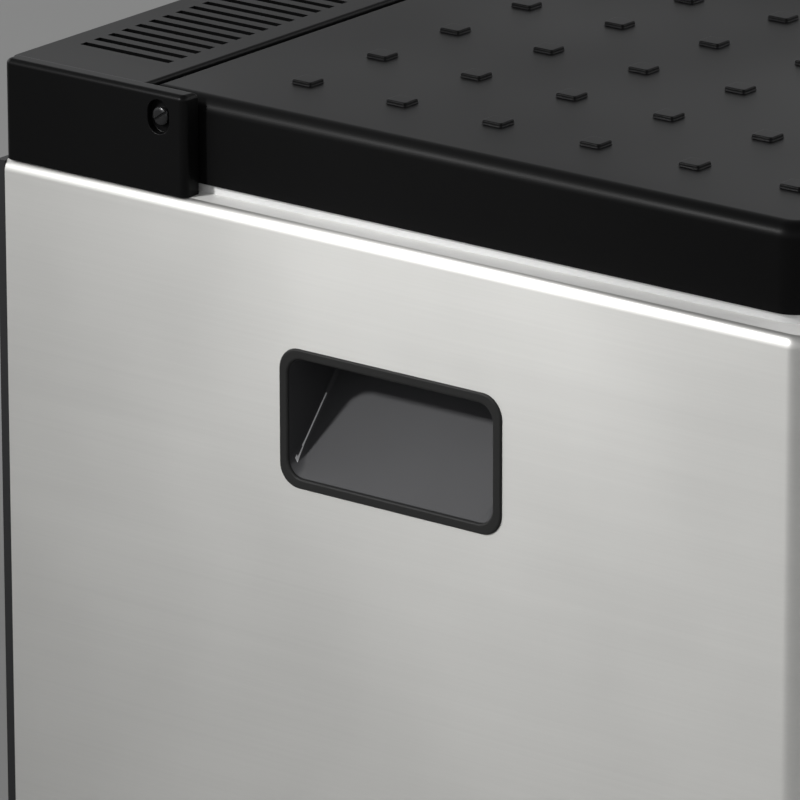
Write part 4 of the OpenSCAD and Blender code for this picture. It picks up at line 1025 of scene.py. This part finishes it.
@dataclass
class ControlPanel:
    """The recessed control panel: surround, fascia with dial marks, knobs, igniter, lamp and window."""

    border: float = 8 * MM
    corner: float = 12 * MM
    proud: float = 1.2 * MM
    mouth: float = 2.4 * MM
    wall: float = 2.0 * MM
    DIALS = (("selector_knob", -60, 60, 5), ("thermostat_knob", -135, 135, 10), ("gas_knob", -105, 105, 8))
    mark: tuple[float, float, float] = (0.8 * MM, 3.2 * MM, 0.25 * MM)
    mark_radius: float = 20.5 * MM
    scallops: int = 24
    scallop: float = 0.7 * MM
    bar: float = 7 * MM
    bar_edge: float = 1.6 * MM
    bar_corner: float = 2.6 * MM
    knob_gap: float = 0.6 * MM
    igniter: float = 7 * MM

    def __post_init__(self) -> None:
        """Reads the panel's place from the frame."""
        self.low, self.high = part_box("control_housing")
        self.middle = (self.low + self.high) / 2
        self.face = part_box("control_fascia")[0].y

    def spot(self, node: str) -> Vector:
        """The middle of a node, on the fascia's face."""
        low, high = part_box(node)
        return Vector(((low.x + high.x) / 2, self.face, (low.z + high.z) / 2))

    def build_housing(self) -> None:
        """Builds the tray with its soft surround."""
        half_w, half_h = (self.high.x - self.low.x) / 2, (self.high.z - self.low.z) / 2
        open_w, open_h, open_r = half_w - self.border, half_h - self.border, 8 * MM
        front = self.low.y + self.proud
        place = at((self.middle.x, front, self.middle.z), "-Y")
        deep = self.high.y - front

        def ring(grow: float, radius: float, z: float) -> list[Vector]:
            """The opening's outline, grown, at a height over the casing's face."""
            shape = rounded(-open_w - grow, open_w + grow, -open_h - grow, open_h + grow, radius, radius)
            return [place @ Vector((x, y, z)) for x, y in shape]

        rings = [ring(self.wall, open_r + self.wall, -deep), ring(self.wall, open_r + self.wall, 0.0),
                 ring(self.border, self.corner, 0.0)]
        for went_in, rose in quarter(6, 1):
            back = self.proud * went_in
            rings.append(ring(self.border - back, self.corner - back, self.proud * rose))
        for sank, went_in in quarter(8):
            grow = self.mouth * (1 - went_in)
            rings.append(ring(grow, open_r + grow, self.proud - self.mouth * sank))
        rings.append(ring(0.0, open_r, self.wall - deep))
        Mould().loft(rings).piece("control_surround", "grip_black", stands_for=["control_housing"], sharp=50)

    def build_marks(self) -> None:
        """Builds the raised dial marks round each knob: a row of strokes that grow longer."""
        mould = Mould()
        wide, tall, height = self.mark
        for node, start, end, count in self.DIALS:
            place = at(self.spot(node), "-Y")
            for k in range(count):
                angle = math.radians(90 - (start + (end - start) * k / (count - 1)))
                turn = place @ Matrix.Rotation(angle - math.pi / 2, 4, "Z")
                stretch = 0.55 + 0.45 * k / (count - 1)
                mould.slab(rounded(-wide / 2, wide / 2, self.mark_radius, self.mark_radius + tall * stretch,
                                   wide * 0.45, wide * 0.45, 4), -0.2 * MM, height, turn)
        mould.piece("dial_marks", "print_white", sharp=40, slot="fascia_plastic")

    def build_knob(self, node: str, body: str) -> None:
        """Builds a knob: a scalloped skirt, a domed face and a finger bar with a pointer line.

        Args:
            node: The CAD knob that it stands for.
            body: The body that the knob turns with.
        """
        low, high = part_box(node)
        spot = self.spot(node)
        radius = (high.x - low.x) / 2
        top = self.face - low.y
        base = self.face - high.y if node == "gas_knob" else self.knob_gap
        disc = base + 4.5 * MM
        place = at(spot, "-Y")

        def ring(scale: float, depth: float, z: float) -> list[Vector]:
            """A scalloped ring at a height."""
            count = self.scallops * 8
            points = []
            for k in range(count):
                angle = 2 * math.pi * k / count
                wave = depth * max(0.0, math.cos(angle * self.scallops)) ** 2
                reach = radius * scale - wave
                points.append(place @ Vector((reach * math.cos(angle), reach * math.sin(angle), z)))
            return points

        rings = [ring(0.985, 0.0, base), ring(1.0, 0.0, base + 0.4 * MM), ring(1.0, 0.0, base + 1.2 * MM),
                 ring(0.985, self.scallop, base + 1.6 * MM), ring(0.975, self.scallop, disc - 0.8 * MM)]
        for k, (went_in, rose) in enumerate(quarter(5, 1), start=1):
            rings.append(ring(0.975 - 0.05 * went_in, self.scallop * (1 - k / 5),
                              disc - 0.8 * MM + 0.8 * MM * rose))
        rings.append(ring(0.6, 0.0, disc + 0.12 * MM))
        name = node.replace("_knob", "")
        Mould().loft(rings).piece(f"{name}_knob_skirt", "knob_plastic", body, [node], sharp=40)
        grip = Mould()
        half = self.bar / 2
        reach = radius - 1.0 * MM
        rings = []
        for went_in, rose in quarter(8):
            soft = self.bar_edge * went_in
            z = top - self.bar_edge + self.bar_edge * rose
            corner = self.bar_corner - soft
            shape = rounded(-half + soft, half - soft, -reach + soft, reach - soft, corner, corner, 8)
            rings.append([place @ Vector((x, y, z)) for x, y in shape])
        shape = rounded(-half - 0.8 * MM, half + 0.8 * MM, -reach, reach, 3 * MM, 3 * MM, 8)
        rings.insert(0, [place @ Vector((x, y, disc - 0.5 * MM)) for x, y in shape])
        grip.loft(rings).piece(f"{name}_finger_bar", "knob_plastic", body, sharp=50)
        pointer = rounded(-0.55 * MM, 0.55 * MM, reach * 0.3, reach - 2.0 * MM, 0.5 * MM, 0.5 * MM, 4)
        line = Mould().slab(pointer, top - 0.4 * MM, top + 0.05 * MM, place)
        line.piece(f"{name}_pointer", "print_white", body, sharp=40, slot="knob_plastic")

    def build_igniter(self) -> None:
        """Builds the dished igniter button and the collar that it slides in."""
        low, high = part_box("igniter_button")
        place = at(self.spot("igniter_button"), "-Y")
        top, radius = self.face - low.y, self.igniter
        profile = [(9 * MM, -5 * MM), (9 * MM, -3 * MM), (radius, -3 * MM), (radius, top - 1.2 * MM)]
        profile += [(radius - 1.0 * MM * went_in, top - 1.2 * MM + 1.1 * MM * rose)
                    for went_in, rose in quarter(6, 1)]
        profile += [(5.2 * MM, top - 0.15 * MM), (3.6 * MM, top - 0.5 * MM), (1.8 * MM, top - 0.75 * MM),
                    (0.1 * MM, top - 0.8 * MM)]
        stem_end = self.face - high.y
        profile = [(0.1 * MM, stem_end), (2.5 * MM, stem_end), (2.5 * MM, -5 * MM)] + profile
        cap = Mould().turned(profile, place)
        cap.piece("igniter_cap", "igniter_red", "igniter", ["igniter_button"], sharp=40)
        collar = [(9.6 * MM, -0.2 * MM), (9.6 * MM, 0.7 * MM), (9.2 * MM, 1.0 * MM), (8.2 * MM, 1.0 * MM),
                  (7.6 * MM, 0.6 * MM), (7.6 * MM, -0.2 * MM), (9.6 * MM, -0.2 * MM)]
        Mould().turned(collar, place).piece("igniter_collar", "knob_plastic", sharp=30)

    def build_bezels(self) -> None:
        """Builds the fine rings round the flame window and the lamp."""
        for node, radius in (("flame_window", 5.0 * MM), ("power_lamp", 3.0 * MM)):
            profile = [(radius + 1.9 * MM, -0.2 * MM), (radius + 1.9 * MM, 0.6 * MM),
                       (radius + 1.5 * MM, 0.95 * MM), (radius + 0.9 * MM, 0.95 * MM),
                       (radius + 0.35 * MM, 0.5 * MM), (radius + 0.35 * MM, -0.2 * MM),
                       (radius + 1.9 * MM, -0.2 * MM)]
            bezel = Mould().turned(profile, at(self.spot(node), "-Y"))
            bezel.piece(f"{node}_bezel", "screw_steel", sharp=30)

    def build(self) -> None:
        """Builds the whole panel."""
        self.build_housing()
        self.build_marks()
        for node, body in (("selector_knob", "selector"), ("thermostat_knob", "thermostat"),
                           ("gas_knob", "gas_control")):
            self.build_knob(node, body)
        self.build_igniter()
        self.build_bezels()


@dataclass
class ReturnSprings:
    """The coil springs behind the gas knob and the igniter, built once at their CAD length and left in place."""

    turns: int = 4
    wire: float = 0.5 * MM
    steps: int = 24
    sides: int = 8

    def build_spring(self, node: str, body: str) -> None:
        """Builds one spring from its seat, at the rear, to the collar that presses it.

        Args:
            node: The CAD spring that it stands for.
            body: The body that presses its front end.
        """
        low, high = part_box(node)
        coil = (high.x - low.x) / 2 - self.wire
        rise = high.y - low.y - 2 * self.wire
        seat = Vector(((low.x + high.x) / 2, high.y, (low.z + high.z) / 2))
        place = at(seat, "-Y")
        count = self.turns * self.steps
        rings = []
        for k in range(count + 1):
            turn = 2 * math.pi * k / self.steps
            ring = []
            for side in range(self.sides):
                around = 2 * math.pi * side / self.sides
                reach = coil + self.wire * math.cos(around)
                z = self.wire * (1 + math.sin(around)) + rise * k / count
                ring.append(place @ Vector((reach * math.cos(turn), reach * math.sin(turn), z)))
            rings.append(ring)
        end = Vector((seat.x, low.y, seat.z))
        name = node.replace("_spring", "_return_spring")
        spring = Mould().loft(rings)
        spring.piece(name, "screw_steel", stands_for=[node], sharp=60, stretch=(body, seat, end))

    def build(self) -> None:
        """Builds both springs."""
        self.build_spring("gas_spring", "gas_thrust")
        self.build_spring("igniter_spring", "igniter")


# ---------------------------------------------------------------- studio


@dataclass
class Studio:
    """A pale floor, a plain room, three soft fill lights, a small key light and the camera."""

    camera_at: tuple[float, float, float] = (-3.320, -2.398, 1.589)
    azimuth: float = 37.92
    elevation: float = 18.17
    roll: float = -0.111
    lens: float = 371.0
    lamp_target: tuple[float, float, float] = (-0.25, 0.03, 0.385)

    def build_camera(self) -> None:
        """Builds the long-lens camera."""
        data = bpy.data.cameras.new("camera")
        data.sensor_width = 36.0
        data.lens = self.lens
        data.clip_end = 100.0
        camera = bpy.data.objects.new("camera", data)
        bpy.context.scene.collection.objects.link(camera)
        a, e, r = (math.radians(angle) for angle in (self.azimuth, self.elevation, self.roll))
        ahead = Vector((math.cos(a) * math.cos(e), math.sin(a) * math.cos(e), -math.sin(e)))
        right = Vector((math.sin(a), -math.cos(a), 0))
        up = right.cross(ahead)
        across = right * math.cos(r) + up * math.sin(r)
        upright = up * math.cos(r) - right * math.sin(r)
        turn = Matrix((across, upright, -ahead)).transposed().to_4x4()
        camera.matrix_world = Matrix.Translation(Vector(self.camera_at)) @ turn
        bpy.context.scene.camera = camera

    def build_floor(self) -> None:
        """Builds the floor."""
        mould = Mould().block((-20, -20, -0.02), (20, 20, 0.0))
        floor = _object("studio_floor", mould.mesh)
        material, _, shader = _new_material("studio_floor")
        shader.inputs["Base Color"].default_value = (0.40, 0.40, 0.395, 1)
        shader.inputs["Roughness"].default_value = 0.9
        shader.inputs["Specular IOR Level"].default_value = 0.1
        floor.data.materials.append(material)

    def build_room(self, walls: float, ceiling: float) -> None:
        """Makes a plain room whose walls are brighter than its ceiling.

        Args:
            walls: The brightness at the horizon.
            ceiling: The brightness overhead.
        """
        world = bpy.data.worlds.new("room")
        world.use_nodes = True
        tree = world.node_tree
        back = tree.nodes["Background"]
        where = tree.nodes.new("ShaderNodeTexCoord")
        split = tree.nodes.new("ShaderNodeSeparateXYZ")
        tree.links.new(where.outputs["Generated"], split.inputs[0])
        wall = (walls, walls * 1.005, walls * 1.015)
        top = (ceiling, ceiling * 1.01, ceiling * 1.02)
        tree.links.new(_tint(tree, split.outputs["Z"], wall, top, 0.36, 0.8), back.inputs["Color"])
        bpy.context.scene.world = world

    def lamp(self, name: str, direction: tuple[float, float, float], distance: float, size: float,
             watts: float, spread: float = 180) -> None:
        """Hangs a square softbox that faces the object.

        Args:
            name: The lamp's name.
            direction: The way from the target to the lamp.
            distance: How far off it hangs.
            size: The side of its square.
            watts: Its power.
            spread: Its beam's spread in degrees.
        """
        data = bpy.data.lights.new(name, "AREA")
        data.shape = "SQUARE"
        data.size = size
        data.energy = watts
        data.spread = math.radians(spread)
        lamp = bpy.data.objects.new(name, data)
        lamp.visible_camera = False
        bpy.context.scene.collection.objects.link(lamp)
        target = Vector(self.lamp_target)
        away = Vector(direction).normalized()
        lamp.location = target + away * distance
        lamp.rotation_euler = away.to_track_quat("Z", "Y").to_euler()

    def build(self) -> None:
        """Builds the whole studio."""
        bpy.context.scene.view_settings.view_transform = "Standard"
        self.build_camera()
        self.build_floor()
        self.build_room(0.72, 0.15)
        self.lamp("front_fill", (0.30, -0.86, 0.42), 3.4, 2.0, 25)
        self.lamp("rear_fill", (-0.05, 0.94, 0.34), 3.4, 1.8, 26)
        self.lamp("right_fill", (0.93, -0.30, 0.22), 3.4, 1.6, 16)
        self.lamp("key", (-0.770, 0.431, 0.470), 1.5, 0.11, 1.02, 42)


def main() -> None:
    """Builds everything in order."""
    logging.basicConfig(level=logging.INFO, format="%(message)s")
    FINISHES.dress_frame()
    Studio().build()
    for part in (Casing(), GripCups(), Lid(), HingeCheeks(), ControlPanel(), ReturnSprings()):
        part.build()
        LOG.info("built %s", type(part).__name__)


if __name__ == "__main__":
    main()
